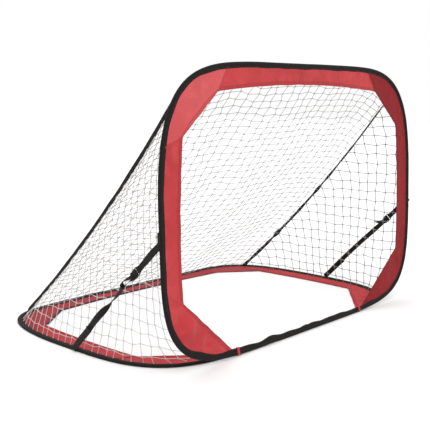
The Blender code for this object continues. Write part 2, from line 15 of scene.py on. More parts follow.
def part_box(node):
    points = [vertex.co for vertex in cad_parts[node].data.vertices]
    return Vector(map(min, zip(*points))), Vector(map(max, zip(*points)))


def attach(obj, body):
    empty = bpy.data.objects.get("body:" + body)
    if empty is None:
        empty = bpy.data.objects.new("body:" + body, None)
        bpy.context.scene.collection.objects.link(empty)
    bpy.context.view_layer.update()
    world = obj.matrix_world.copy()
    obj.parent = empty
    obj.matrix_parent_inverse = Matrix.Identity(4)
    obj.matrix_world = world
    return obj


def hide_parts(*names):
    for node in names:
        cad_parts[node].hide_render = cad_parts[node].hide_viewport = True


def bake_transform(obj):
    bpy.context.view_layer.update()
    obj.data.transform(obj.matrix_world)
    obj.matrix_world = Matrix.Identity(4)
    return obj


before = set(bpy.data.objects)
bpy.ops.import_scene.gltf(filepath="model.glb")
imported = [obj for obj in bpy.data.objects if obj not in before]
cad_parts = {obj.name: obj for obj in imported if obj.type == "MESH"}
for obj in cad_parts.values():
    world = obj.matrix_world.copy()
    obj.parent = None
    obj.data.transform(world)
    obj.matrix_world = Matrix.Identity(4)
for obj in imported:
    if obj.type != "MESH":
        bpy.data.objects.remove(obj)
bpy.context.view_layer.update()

# The hoops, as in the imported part
HOOP_WIDTH = 1.22
HOOP_HALF = HOOP_WIDTH / 2
FRONT_HEIGHT = 0.80
BASE_DEPTH = 0.79
LEAN = math.radians(2.2)
FRONT_POWERS = ((6.0, 2.8), (5.9, 4.2))
BASE_POWERS = ((8.2, 2.6), (5.7, 3.3))
SLEEVE_HALF = 0.0043
SLEEVE_WIDTH = 0.016
BASE_SLEEVE_EXTRA = 0.30            # share added away from the hinge
FRONT_LOOSE = 0.09                  # how uneven the front hoop's sleeve is along the ground
FRONT_SLEEVE_EXTRA = 0.16           # share added down the left side and along the left of the bottom
FRONT_FACE_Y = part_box("front_sleeve")[0][1]
HINGE_Y = FRONT_FACE_Y + 2 * SLEEVE_HALF + 0.0003
HINGE_Z = 2 * SLEEVE_HALF
FRONT_LIFT = 0.0005
FERRULE_X = -0.18

# Where the cloth panels meet
END_SEAM_X = 0.347
END_VERTEX_X = 0.385
BAND_MID_WIDTH = 0.061
BAND_END_WIDTH = 0.0795
SIDE_MID_WIDTH = 0.079
SIDE_FAR_SEAM = 0.585
SIDE_NEAR_SEAM = 0.217
SIDE_FAR_VERTEX = (0.090, 0.607)
SIDE_NEAR_VERTEX = (0.085, 0.189)
NEAR_CORNER_X = {"left": 0.340, "right": 0.305}
NEAR_VERTEX_SHIFT = {"left": (-0.008, -0.002), "right": (0.0, -0.008)}
PANEL_TUCK = 0.008

# Cloth, hems and thread
CLOTH = 0.0005
HEM = 0.0011
HEM_WIDTH = 0.0115
HEM_ROWS = (0.0022, 0.0098)
SEAM_WIDTH = 0.007
DARK_STRIP_WIDTH = 0.0056
DARK_STRIP_THICK = 0.0026
DARK_STRIP_END_X = 0.16
STITCH_PITCH = 0.0040
STITCH_LENGTH = 0.0031
BOX_STITCH = {"pitch": 0.0030, "length": 0.0024}
THREAD = 0.00032

# Net and its seam tapes
SIDE_MESH = {"left": (0.029, 0.034), "right": (0.034, 0.034)}
CORD_RADIUS = 0.00082
SHADED_CORD_RADIUS = 0.00102
KNOT_SWELL = 1.85
NET_ATTACH_U = {"front": 0.0125, "base": 0.0175}
NET_ATTACH_W = 0.0020
NET_NEAR_EDGE = 0.035
NET_BACK_SAG = 0.055
NET_SIDE_SAG = 0.030
RIB_SAG = 0.026
RIB_TOP_X = 0.520
RIB_BASE_X = {"left": 0.503, "right": 0.550}
RIB_WIDTHS = {"left": (0.0130, 0.0110), "right": (0.0045, 0.0120)}     # at the top and at the foot
RIB_OUTSET = {"left": 0.0045, "right": 0.0010}
RIB_UNEVEN = {"left": 0.03, "right": 0.28}
RIB_THICK = 0.0014

# Straps and buckles
WEB_WIDTH = 0.018
WEB_THICK = 0.0013
STRAP_FRONT_Z = 0.345
STRAP_BASE_Y = 0.352
STRAP_OFFSET = 0.0036
STRAP_SEWN = 0.016
ANCHOR_LENGTH = 0.108
TAB_WIDTH = 0.0115
TAB_THICK = 0.0012
BUCKLE_WEB = 0.0158                 # width of the webbing where it passes the buckle
BUCKLE_START = 0.098
BUCKLE_BARS = (0.004, 0.005, 0.004)
BUCKLE_SLOT = 0.007
BUCKLE_RAIL = 0.003
BUCKLE_THICK = 0.0024
SWING_RATIO = 0.8
RIGID_WEBBING = (0.080, 0.182)      # part of the strap given the buckle's share of the fold
WEBBING_JOIN = 0.152                # where the long webbing meets its turn through the buckle

# Red tapes over the two bottom bars
TAPE_X = {"left": 0.3257, "right": 0.2879}
TAPE_WIDTH = 0.010
TAPE_THICK = 0.0008

# Camera and stage
CAMERA_AT = (-1.9544, -1.3801 + FRONT_FACE_Y, 0.7294)
CAMERA_RIGHT = (0.67176, -0.74072, 0.00826)
CAMERA_UP = (0.11000, 0.11077, 0.98774)
LENS = 67.6


def unit(v):
    v = np.asarray(v, float)
    return v / np.maximum(np.linalg.norm(v, axis=-1, keepdims=True), 1e-12)


def turned(first, second, angle):
    """Direction at each angle from the first axis towards the second."""
    return first * np.cos(angle)[:, None] + second * np.sin(angle)[:, None]


def smooth_step(x, low, high):
    t = np.clip((np.asarray(x, float) - low) / (high - low), 0, 1)
    return t * t * (3 - 2 * t)


class Waves:
    """Smooth pseudo-random field: sines of several wavelengths and directions, about -1 to 1."""

    def __init__(self, seed, size, dims=2, count=10, squeeze=None):
        rng = np.random.default_rng(seed)
        direction = unit(rng.normal(size=(count, dims)))
        length = size * rng.uniform(0.6, 1.7, count)
        self.k = 2 * np.pi * direction / length[:, None]
        if squeeze is not None:
            self.k = self.k * np.asarray(squeeze, float)
        self.phase = rng.uniform(0, 2 * np.pi, count)
        self.gain = 1.6 / math.sqrt(count)

    def __call__(self, *axes):
        total = 0
        for k, phase in zip(self.k, self.phase):
            total = total + np.sin(sum(c * np.asarray(a, float) for c, a in zip(k, axes)) + phase)
        return total * self.gain / math.sqrt(2)


class Hoop:
    """A rounded hoop outline in its own plane: a to the right, b away from the hinge edge."""

    SAMPLES = 6000

    def __init__(self, body, length, powers, origin, b_axis, w_axis):
        self.body = body
        self.length = length
        self.origin = np.array(origin, float)
        self.b_axis = np.array(b_axis, float)
        self.w_axis = np.array(w_axis, float)
        angle = np.linspace(-np.pi / 2, 1.5 * np.pi, 4 * self.SAMPLES + 1)
        c = np.cos(angle)
        s = np.sin(angle)
        power_a = np.where(s > 0, powers[0][0], powers[1][0])
        power_b = np.where(s > 0, powers[0][1], powers[1][1])
        a = HOOP_HALF * np.sign(c) * np.abs(c) ** (2 / power_a)
        b = length / 2 * (1 + np.sign(s) * np.abs(s) ** (2 / power_b))
        a[0] = a[-1] = b[0] = b[-1] = 0.0
        arc = np.concatenate([[0.0], np.cumsum(np.hypot(np.diff(a), np.diff(b)))])
        self.total = arc[-1]
        self.arc = np.linspace(0, self.total, self.SAMPLES + 1)
        self.ab = np.stack([np.interp(self.arc, arc, a), np.interp(self.arc, arc, b)], axis=1)
        ahead = unit(np.roll(self.ab[:-1], -8, axis=0) - np.roll(self.ab[:-1], 8, axis=0))
        ahead = np.concatenate([ahead, ahead[:1]])
        self.inward = np.stack([-ahead[:, 1], ahead[:, 0]], axis=1)

    def look_up(self, table, s):
        s = np.mod(s, self.total)
        return np.stack([np.interp(s, self.arc, table[:, k]) for k in (0, 1)], axis=-1)

    def plane(self, s, u):
        return self.look_up(self.ab, s) + self.look_up(self.inward, s) * np.asarray(u, float)[..., None]

    def space(self, ab, w):
        ab = np.asarray(ab, float)
        w = np.asarray(w, float)[..., None]
        x = ab[..., :1] * np.array([1.0, 0.0, 0.0])
        return self.origin + x + ab[..., 1:] * self.b_axis + w * self.w_axis

    def point(self, s, u, w):
        return self.space(self.plane(s, u), w)

    def arc_where(self, axis, value, side):
        mask = self.ab[:, 1] > self.length / 2 if axis == 0 else self.ab[:, 0] * side > 0
        return self.arc[np.where(mask, np.abs(self.ab[:, axis] - value), np.inf).argmin()]

    def near_arc_where(self, a):
        mask = self.ab[:, 1] < self.length / 2
        return self.arc[np.where(mask, np.abs(self.ab[:, 0] - a), np.inf).argmin()]


FRONT = Hoop("front", FRONT_HEIGHT, FRONT_POWERS, (0, FRONT_FACE_Y + SLEEVE_HALF, FRONT_LIFT),
             (0, math.sin(LEAN), math.cos(LEAN)), (0, math.cos(LEAN), -math.sin(LEAN)))
BASE = Hoop("base", BASE_DEPTH, BASE_POWERS, (0, HINGE_Y + 0.0003, SLEEVE_HALF), (0, 1, 0), (0, 0, 1))


# ---------------------------------------------------------------- meshes

def mesh_piece(name, points, faces, corner_uv, material, slot):
    """Mesh object with smooth faces and a UV map in metres, one row of corner_uv for each face corner."""
    mesh = bpy.data.meshes.new(name)
    mesh.from_pydata(np.asarray(points).tolist(), [], [list(map(int, f)) for f in faces])
    layer = mesh.uv_layers.new(name="cloth")
    layer.data.foreach_set("uv", np.asarray(corner_uv, np.float32).ravel())
    mesh.polygons.foreach_set("use_smooth", np.ones(len(mesh.polygons), bool))
    mesh.materials.append(material)
    mesh.update()
    piece = bpy.data.objects.new(name, mesh)
    bpy.context.scene.collection.objects.link(piece)
    return piece


def lofted(rings, along, round_it, closed):
    """Points, faces and corner UVs of closed section rings; ends are capped with strips unless it closes."""
    count, size = rings.shape[:2]
    i = np.arange(count if closed else count - 1)
    j = np.arange(size)
    i, j = (grid.ravel() for grid in np.meshgrid(i, j, indexing="ij"))
    steps = [(i, j), (i, j + 1), (i + 1, j + 1), (i + 1, j)]
    faces = np.stack([(a % count) * size + b % size for a, b in steps], axis=1)
    uv = np.stack([np.stack([along[a], round_it[b]], axis=1) for a, b in steps], axis=1).reshape(-1, 2)
    faces = faces.tolist()
    if not closed:
        half = size // 2
        extra = []
        for start, flip in ((0, False), ((count - 1) * size, True)):
            for k in range(half - 1):
                quad = [start + k, start + size - 1 - k, start + size - 2 - k, start + k + 1]
                extra.append(quad[::-1] if flip else quad)
                place = along[0] if start == 0 else along[count - 1]
                uv = np.concatenate([uv, [[place, round_it[q % size]] for q in extra[-1]]])
        faces += extra
    return rings.reshape(-1, 3), faces, uv


def outward(points, faces):
    """Whether the faces enclose a positive volume."""
    centre = points.mean(axis=0)
    volume = 0.0
    for f in faces:
        for k in range(1, len(f) - 1):
            a, b, c = points[f[0]] - centre, points[f[k]] - centre, points[f[k + 1]] - centre
            volume += float(np.dot(a, np.cross(b, c)))
    return volume >= 0


def faced_out(points, faces):
    return faces if outward(points, faces) else [f[::-1] for f in faces]


def loft_piece(name, rings, along, round_it, material, slot, closed=False):
    points, faces, uv = lofted(rings, along, round_it, closed)
    if not outward(points, faces):
        faces = [f[::-1] for f in faces]
        starts = np.cumsum([0] + [len(f) for f in faces])
        uv = np.concatenate([uv[a:b][::-1] for a, b in zip(starts[:-1], starts[1:])])
    return mesh_piece(name, points, faces, uv, material, slot)


def joined(parts):
    """One list of points, faces and UVs from several."""
    points, faces, uvs = [], [], []
    shift = 0
    for p, f, uv in parts:
        points.append(p)
        faces += [[q + shift for q in face] for face in f]
        uvs.append(uv)
        shift += len(p)
    return np.concatenate(points), faces, np.concatenate(uvs)


def path_lengths(path):
    return np.concatenate([[0.0], np.cumsum(np.linalg.norm(np.diff(path, axis=0), axis=1))])


def resampled(path, step):
    """Smooth curve through the points, Catmull-Rom, at about the given step."""
    path = np.asarray(path, float)
    padded = np.concatenate([[2 * path[0] - path[1]], path, [2 * path[-1] - path[-2]]])
    out = []
    for k in range(1, len(padded) - 2):
        p0, p1, p2, p3 = padded[k - 1:k + 3]
        count = max(2, int(np.linalg.norm(p2 - p1) / step))
        t = np.linspace(0, 1, count, endpoint=False)[:, None]
        out.append(0.5 * (2 * p1 + (p2 - p0) * t + (2 * p0 - 5 * p1 + 4 * p2 - p3) * t ** 2
                          + (3 * p1 - p0 - 3 * p2 + p3) * t ** 3))
    return np.concatenate(out + [path[-1:]])


def ribbon_rings(centres, across, width, thick, edge=0.75, columns=7):
    """Section rings of a woven strip whose selvedges are a little thinner than its middle."""
    tangent = unit(np.gradient(centres, axis=0))
    normal = unit(np.cross(tangent, across))
    side = unit(np.cross(normal, tangent))
    width = np.broadcast_to(np.asarray(width, float), (len(centres),))[:, None]
    places = np.sin(np.linspace(-np.pi / 2, np.pi / 2, columns))
    ring = []
    for sign in (1, -1):
        for x in places[::sign]:
            lift = thick / 2 * (edge + (1 - edge) * (1 - abs(x) ** 3)) * (0.35 if abs(x) > 0.999 else 1)
            ring.append(centres + side * x * width / 2 + normal * sign * lift)
    return np.stack(ring, axis=1)


def ribbon_uv(centres, width, columns=7):
    places = np.sin(np.linspace(-np.pi / 2, np.pi / 2, columns)) * width / 2
    return path_lengths(centres), np.concatenate([places, places[::-1], places[:1]])


def ribbon_piece(name, centres, across, width, thick, tone="webbing"):
    rings = ribbon_rings(centres, across, width, thick)
    along, round_it = ribbon_uv(centres, float(np.max(width)))
    slot = "red_tape" if tone == "tape" else "black_webbing"
    return loft_piece(name, rings, along, round_it, MATERIALS[tone], slot)


def stitch_parts(path, normals, pitch=STITCH_PITCH, length=STITCH_LENGTH, radius=THREAD):
    """Thread dashes that follow a line on the cloth: each dips into it at both ends."""
    arc = path_lengths(path)
    starts = np.arange(pitch / 2, arc[-1] - length, pitch)
    if len(starts) == 0:
        return None

    def at(s, table):
        return np.stack([np.interp(s, arc, table[:, k]) for k in range(3)], axis=1)

    centre = at(starts + length / 2, path)
    tangent = unit(at(starts + length, path) - at(starts, path))
    normal = unit(at(starts + length / 2, normals))
    side = unit(np.cross(tangent, normal))
    rings = []
    for place, size in ((-0.5, 0.0), (-0.32, 1.0), (0.32, 1.0), (0.5, 0.0)):
        middle = centre + tangent * place * length + normal * radius * (0.55 if size else -0.6)
        around = [(1, 0), (0, 1), (-1, 0), (0, -0.8)]
        scale = radius * max(size, 0.25)
        rings.append(np.stack([middle + side * a * scale + normal * b * scale for a, b in around], axis=1))
    block = np.stack(rings, axis=1)
    count = len(block)
    points = block.reshape(-1, 3)
    unit_faces = [[r * 4 + k, r * 4 + (k + 1) % 4, r * 4 + 4 + (k + 1) % 4, r * 4 + 4 + k]
                  for r in range(3) for k in range(4)] + [[3, 2, 1, 0], [12, 13, 14, 15]]
    faces = (np.array(unit_faces)[None] + np.arange(count)[:, None, None] * 16).reshape(-1, 4)
    uv = np.zeros((faces.size, 2))
    uv[:, 0] = np.repeat(starts, len(unit_faces) * 4)
    return points, faces.tolist(), uv


def facing(direction, path):
    """The path with the same normal at all its points, as stitch_piece takes it."""
    return path, np.repeat(np.asarray(direction, float)[None], len(path), axis=0)


def stitch_piece(name, lines, slot, body=None, **sizes):
    """Thread dashes along the lines, red on a red slot and black on a black one."""
    parts = [stitch_parts(path, normals, **sizes) for path, normals in lines]
    thread = MATERIALS["red_thread" if slot.startswith("red") else "black_thread"]
    piece = mesh_piece(name, *joined([p for p in parts if p is not None]), thread, slot)
    if body:
        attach(piece, body)
    return piece


def tube_parts(path, radii, sides=5):
    """Thin cord through the points, with a radius at each."""
    tangent = unit(np.gradient(path, axis=0))
    helper = np.array([0.31, 0.55, 0.77])
    a = unit(np.cross(tangent, helper))
    b = np.cross(tangent, a)
    angle = np.arange(sides) * 2 * np.pi / sides
    offset = a[:, None] * np.cos(angle)[None, :, None] + b[:, None] * np.sin(angle)[None, :, None]
    rings = path[:, None] + offset * np.asarray(radii, float)[:, None, None]
    count = len(path)
    i, j = (g.ravel() for g in np.meshgrid(np.arange(count - 1), np.arange(sides), indexing="ij"))
    steps = [(i, j), (i + 1, j), (i + 1, j + 1), (i, j + 1)]
    faces = np.stack([p * sides + q % sides for p, q in steps], axis=1).tolist()
    faces += [list(range(sides))[::-1], list(range((count - 1) * sides, count * sides))]
    arc = path_lengths(path)
    round_it = np.arange(sides + 1) * 2 * np.pi / sides * CORD_RADIUS
    uv = np.stack([np.stack([arc[p], round_it[q]], axis=1) for p, q in steps], axis=1).reshape(-1, 2)
    caps = np.zeros((2 * sides, 2))
    caps[sides:, 0] = arc[-1]
    return rings.reshape(-1, 3), faces, np.concatenate([uv, caps])


# ---------------------------------------------------------------- materials

class Material:
    """Node tree builder: every method returns a socket."""

    def __init__(self, name, roughness, metallic=0.0, sheen=0.0, specular=0.5):
        self.material = bpy.data.materials.new(name)
        self.material.use_nodes = True
        self.tree = self.material.node_tree
        self.shader = self.tree.nodes["Principled BSDF"]
        self.set("Roughness", roughness)
        self.set("Metallic", metallic)
        self.set("Sheen Weight", sheen)
        self.set("Sheen Roughness", 0.4)
        self.set("Specular IOR Level", specular)
        self.uv = self.node("ShaderNodeUVMap", "UV", uv_map="cloth")
        self.object = self.node("ShaderNodeTexCoord", "Object")

    def node(self, kind, output, links=(), values=(), **settings):
        n = self.tree.nodes.new(kind)
        for key, value in settings.items():
            setattr(n, key, value)
        for key, value in values:
            n.inputs[key].default_value = value
        for key, socket in links:
            self.tree.links.new(socket, n.inputs[key])
        return n.outputs[output]

    def set(self, name, value):
        target = self.shader.inputs[name]
        if isinstance(value, bpy.types.NodeSocket):
            self.tree.links.new(value, target)
        else:
            target.default_value = value

    def math(self, operation, a, b=None):
        links = [(k, v) for k, v in ((0, a), (1, b)) if isinstance(v, bpy.types.NodeSocket)]
        values = [(k, v) for k, v in ((0, a), (1, b)) if isinstance(v, (int, float))]
        return self.node("ShaderNodeMath", 0, links, values, operation=operation)

    def split(self, vector):
        n = self.tree.nodes.new("ShaderNodeSeparateXYZ")
        self.tree.links.new(vector, n.inputs[0])
        return n.outputs[0], n.outputs[1]

    def noise(self, vector, scale, detail=3.0, roughness=0.55):
        return self.node("ShaderNodeTexNoise", "Fac", [("Vector", vector)],
                         [("Scale", scale), ("Detail", detail), ("Roughness", roughness)])

    def remap(self, value, low, high, new_low, new_high):
        return self.node("ShaderNodeMapRange", 0, [(0, value)],
                         [(1, low), (2, high), (3, new_low), (4, new_high)])

    def wave(self, coordinate, pitch):
        return self.math("SINE", self.math("MULTIPLY", coordinate, 2 * math.pi / pitch))

    def mix(self, factor, first, second):
        n = self.tree.nodes.new("ShaderNodeMix")
        n.data_type = "RGBA"
        n.clamp_factor = True
        for key, value in ((0, factor), (6, first), (7, second)):
            target = n.inputs[key]
            if isinstance(value, bpy.types.NodeSocket):
                self.tree.links.new(value, target)
            else:
                target.default_value = (*value, 1.0) if isinstance(value, tuple) else value
        return n.outputs[2]

    def bump(self, height, distance, strength=1.0, under=None):
        links = [("Height", height)] + ([("Normal", under)] if under else [])
        return self.node("ShaderNodeBump", 0, links, [("Distance", distance), ("Strength", strength)])


def cloth_material(name, color, light, deep, hem, roughness=0.6, sheen=0.06, specular=0.3, crease=0.0012):
    """Plain-woven polyester: fine crossing threads with painted shade in their hollows, faint slubs, soft
    creases with a painted highlight on their crests, and a darker doubled hem with painted shade along its
    stitch rows.
    """
    pitch = 0.0009
    m = Material(name, roughness, sheen=sheen, specular=specular)
    across, along = m.split(m.uv)
    weave = m.math("MULTIPLY", m.wave(across, pitch), m.wave(along, pitch))
    slub = m.noise(m.node("ShaderNodeMapping", 0, [(0, m.uv)], [(3, (30.0, 900.0, 1.0))]), 1.0, 2.0)
    patches = m.noise(m.object, 7.0, 4.0)
    fold = m.noise(m.object, 21.0, 5.0, 0.62)
    tone = m.mix(m.remap(patches, 0.35, 0.68, 0.0, 1.0), deep, color)
    # Lighter where the crease bump (fold) is raised: painted highlight on the crease crests
    tone = m.mix(m.remap(fold, 0.50, 0.72, 0.0, 0.55), tone, light)
    tone = m.mix(m.remap(slub, 0.55, 0.75, 0.0, 0.22), tone, light)
    # Darker in the hollows of the weave bump: painted shade between the threads
    tone = m.mix(m.remap(weave, -1.0, 0.2, 0.16, 0.0), tone, deep)
    tone = m.mix(m.remap(along, HEM_WIDTH - 0.0005, HEM_WIDTH + 0.0006, 0.42, 0.0), tone, hem)
    # Darker along each stitch row, where the cloth is pulled into a groove: painted shade
    for row in HEM_ROWS:
        away = m.math("ABSOLUTE", m.math("SUBTRACT", along, row))
        tone = m.mix(m.remap(away, 0.0003, 0.0013, 0.75, 0.0), tone, hem)
    m.set("Base Color", tone)
    m.set("Roughness", m.remap(fold, 0.3, 0.7, roughness - 0.07, roughness + 0.09))
    creased = m.bump(fold, crease, 0.55)
    m.set("Normal", m.bump(weave, 0.00006, 0.7, creased))
    return m.material


def twill_material(name, color, light, pitch=0.0021, roughness=0.72):
    """Black woven sleeve tape: slanting ribs with a painted highlight on their crests, scuffed a little where
    it bulges.
    """
    m = Material(name, roughness, sheen=0.02, specular=0.13)
    along, across = m.split(m.uv)
    slant = m.math("ADD", along, m.math("MULTIPLY", across, 0.8))
    rib = m.wave(slant, pitch)
    thread = m.wave(across, 0.0008)
    worn = m.noise(m.object, 38.0, 5.0, 0.6)
    # Lighter on the raised crests of the rib bump: painted highlight
    tone = m.mix(m.remap(rib, -0.6, 1.0, 0.0, 0.75), color, light)
    tone = m.mix(m.remap(worn, 0.52, 0.75, 0.0, 0.45), tone, light)
    m.set("Base Color", tone)
    m.set("Roughness", m.remap(worn, 0.3, 0.7, roughness - 0.08, roughness + 0.1))
    ribs = m.bump(m.math("ADD", rib, m.math("MULTIPLY", thread, 0.35)), 0.00016, 0.8)
    m.set("Normal", m.bump(worn, 0.0006, 0.35, ribs))
    return m.material


def webbing_material(name, color, light, roughness=0.62):
    """Webbing: herringbone picks, with a painted highlight where they rise, between ribs that run its length.
    """
    m = Material(name, roughness, sheen=0.02, specular=0.15)
    along, across = m.split(m.uv)
    zigzag = m.math("PINGPONG", across, 0.0022)
    pick = m.wave(m.math("ADD", along, zigzag), 0.0016)
    rib = m.wave(across, 0.0022)
    worn = m.noise(m.object, 60.0, 4.0)
    # Lighter where the picks of the bump rise: painted highlight
    tone = m.mix(m.remap(pick, -0.3, 1.0, 0.0, 0.7), color, light)
    tone = m.mix(m.remap(worn, 0.5, 0.75, 0.0, 0.5), tone, light)
    m.set("Base Color", tone)
    m.set("Roughness", m.remap(worn, 0.3, 0.7, roughness - 0.1, roughness + 0.1))
    m.set("Normal", m.bump(m.math("ADD", pick, m.math("MULTIPLY", rib, 0.5)), 0.0002, 0.8))
    return m.material


def cord_material(name, color, soil_and_groove_shade):
    """Twisted net cord: slanting strands with painted shade in the grooves between them, grey where it is
    handled.
    """
    m = Material(name, 0.6, sheen=0.15, specular=0.4)
    along, around = m.split(m.uv)
    lay = m.wave(m.math("ADD", along, m.math("MULTIPLY", around, 0.9)), 0.0028)
    soil = m.noise(m.object, 26.0, 4.0)
    # Darker in the low parts of the lay bump: painted shade in the grooves between the strands
    tone = m.mix(m.remap(lay, -1.0, 0.4, 0.7, 0.0), color, soil_and_groove_shade)
    tone = m.mix(m.remap(soil, 0.45, 0.75, 0.0, 0.6), tone, soil_and_groove_shade)
    m.set("Base Color", tone)
    m.set("Normal", m.bump(lay, 0.00025, 0.8))
    return m.material


def thread_material(name, color, light):
    m = Material(name, 0.5, sheen=0.3)
    tone = m.mix(m.remap(m.noise(m.object, 900.0, 2.0), 0.35, 0.7, 0.0, 0.8), color, light)
    m.set("Base Color", tone)
    m.set("Normal", m.bump(m.noise(m.object, 2600.0, 1.0), 0.0001, 0.5))
    return m.material


def plastic_material(name, color, light):
    """Moulded acetal: fine spark texture, edges rubbed paler."""
    m = Material(name, 0.34, specular=0.5)
    grain = m.noise(m.object, 1400.0, 3.0)
    rubbed = m.noise(m.object, 160.0, 4.0)
    m.set("Base Color", m.mix(m.remap(rubbed, 0.5, 0.72, 0.0, 0.8), color, light))
    m.set("Roughness", m.remap(rubbed, 0.35, 0.7, 0.28, 0.46))
    m.set("Normal", m.bump(grain, 0.00008, 0.6))
    return m.material


def steel_material(name):
    """Flat spring steel: drawn lines along it and a few dull spots."""
    m = Material(name, 0.3, metallic=1.0)
    lines = m.noise(m.node("ShaderNodeMapping", 0, [(0, m.object)], [(3, (40.0, 40.0, 2200.0))]), 1.0, 3.0)
    dull = m.noise(m.object, 45.0, 4.0)
    m.set("Base Color", m.mix(m.remap(dull, 0.5, 0.7, 0.0, 0.7), (0.55, 0.55, 0.56), (0.30, 0.28, 0.26)))
    m.set("Roughness", m.remap(lines, 0.3, 0.7, 0.24, 0.42))
    m.set("Normal", m.bump(lines, 0.0001, 0.5))
    return m.material


MATERIALS = {
    "cloth": cloth_material("red_cloth", (0.515, 0.036, 0.041), (0.60, 0.070, 0.078), (0.41, 0.021, 0.026),
                            (0.30, 0.010, 0.014)),
    # Lighter copy of the red cloth with more sheen, for the top left corner: painted light
    "pale": cloth_material("red_cloth_painted_light", (0.59, 0.080, 0.086), (0.66, 0.135, 0.14), (0.51, 0.052, 0.058),
                           (0.40, 0.022, 0.028), sheen=0.12),
    # Darker copy of the red cloth: painted shade; no panel uses it
    "deep": cloth_material("red_cloth_deep_painted_shade", (0.46, 0.022, 0.028), (0.53, 0.042, 0.050), (0.37, 0.013, 0.018),
                           (0.26, 0.008, 0.012)),
    # Much darker copy of the red cloth with no sheen, for the front hoop's right side panels and seams:
    # painted shade
    "shade": cloth_material("red_cloth_painted_shade", (0.255, 0.010, 0.014), (0.32, 0.020, 0.026),
                            (0.20, 0.007, 0.010), (0.16, 0.005, 0.007), sheen=0.0, specular=0.15),
    # Darker, greyer copies of the red cloth for the base hoop, darker still at the rear: painted shade, with
    # the grey cast a painted grazing reflection in place of sheen
    "base": cloth_material("red_cloth_base_painted_shade", (0.45, 0.045, 0.050), (0.52, 0.075, 0.082), (0.35, 0.030, 0.034),
                           (0.24, 0.008, 0.011), sheen=0.0, specular=0.10, roughness=0.7),
    "base_rear": cloth_material("red_cloth_rear_painted_shade", (0.35, 0.046, 0.053), (0.42, 0.070, 0.080),
                                (0.27, 0.030, 0.036), (0.20, 0.007, 0.010), sheen=0.0, specular=0.10,
                                roughness=0.7),
    "hem": cloth_material("red_hem", (0.36, 0.014, 0.019), (0.44, 0.030, 0.037), (0.26, 0.009, 0.013),
                          (0.24, 0.008, 0.011), crease=0.0006),
    "sleeve": twill_material("black_sleeve", (0.0060, 0.0050, 0.0046), (0.0200, 0.0165, 0.0150)),
    "webbing": webbing_material("black_webbing", (0.0050, 0.0040, 0.0038), (0.0180, 0.0148, 0.0138)),
    "rib": webbing_material("black_seam_tape", (0.0060, 0.0050, 0.0048), (0.0180, 0.0155, 0.0148)),
    "tape": webbing_material("red_tape", (0.50, 0.022, 0.035), (0.66, 0.07, 0.085), 0.5),
    "cord": cord_material("white_net", (0.60, 0.59, 0.58), (0.40, 0.39, 0.385)),
    # Greyer copy of the white cord for the back net: painted shade
    "cord_back_painted_shade": cord_material("white_net_back_painted_shade", (0.42, 0.405, 0.395), (0.29, 0.28, 0.275)),
    # Dark grey copy of the white cord for the right net: painted shade
    "cord_painted_shade": cord_material("white_net_painted_shade", (0.25, 0.24, 0.235), (0.15, 0.145, 0.142)),
    "red_thread": thread_material("red_thread", (0.24, 0.009, 0.013), (0.40, 0.04, 0.05)),
    "black_thread": thread_material("black_thread", (0.010, 0.009, 0.009), (0.045, 0.040, 0.038)),
    "plastic": plastic_material("buckle_plastic", (0.020, 0.017, 0.014), (0.11, 0.086, 0.066)),
    "steel": steel_material("spring_steel"),
}


# ---------------------------------------------------------------- sleeves

def sleeve_half(u, width):
    """Half the sleeve's thickness at u: round over the steel, pinched to a stitched flap."""
    rounded = SLEEVE_HALF * np.sqrt(np.clip(1 - np.clip(1 - u / SLEEVE_HALF, 0, 1) ** 2, 0, 1))
    flap = 0.0012
    return rounded + (flap - rounded) * smooth_step(u, 0.50 * width, 0.80 * width)


def sleeve_width(hoop, s, loose):
    """Width of the sleeve at s; the loose stretch on the ground is less even, with a lump at the ferrule."""
    ferrule = hoop.near_arc_where(FERRULE_X)
    away = np.mod(s - ferrule + hoop.total / 2, hoop.total) - hoop.total / 2
    on_ground = smooth_step(hoop.look_up(hoop.ab, s)[..., 1], 0.06, 0.0)
    uneven = Waves(11 + len(hoop.body), 0.11, dims=1)(s) * (0.04 + loose * on_ground)
    a, b = np.moveaxis(hoop.look_up(hoop.ab, s), -1, 0)
    if hoop is BASE:
        uneven = uneven + BASE_SLEEVE_EXTRA * smooth_step(b, 0.02, 0.09)
    else:
        uneven = uneven + FRONT_SLEEVE_EXTRA * smooth_step(a, 0.35, 0.0) * smooth_step(b, 0.78, 0.60)
    return SLEEVE_WIDTH * (1 + uneven + 0.16 * loose / 0.10 * np.exp(-(away / 0.035) ** 2) * on_ground)


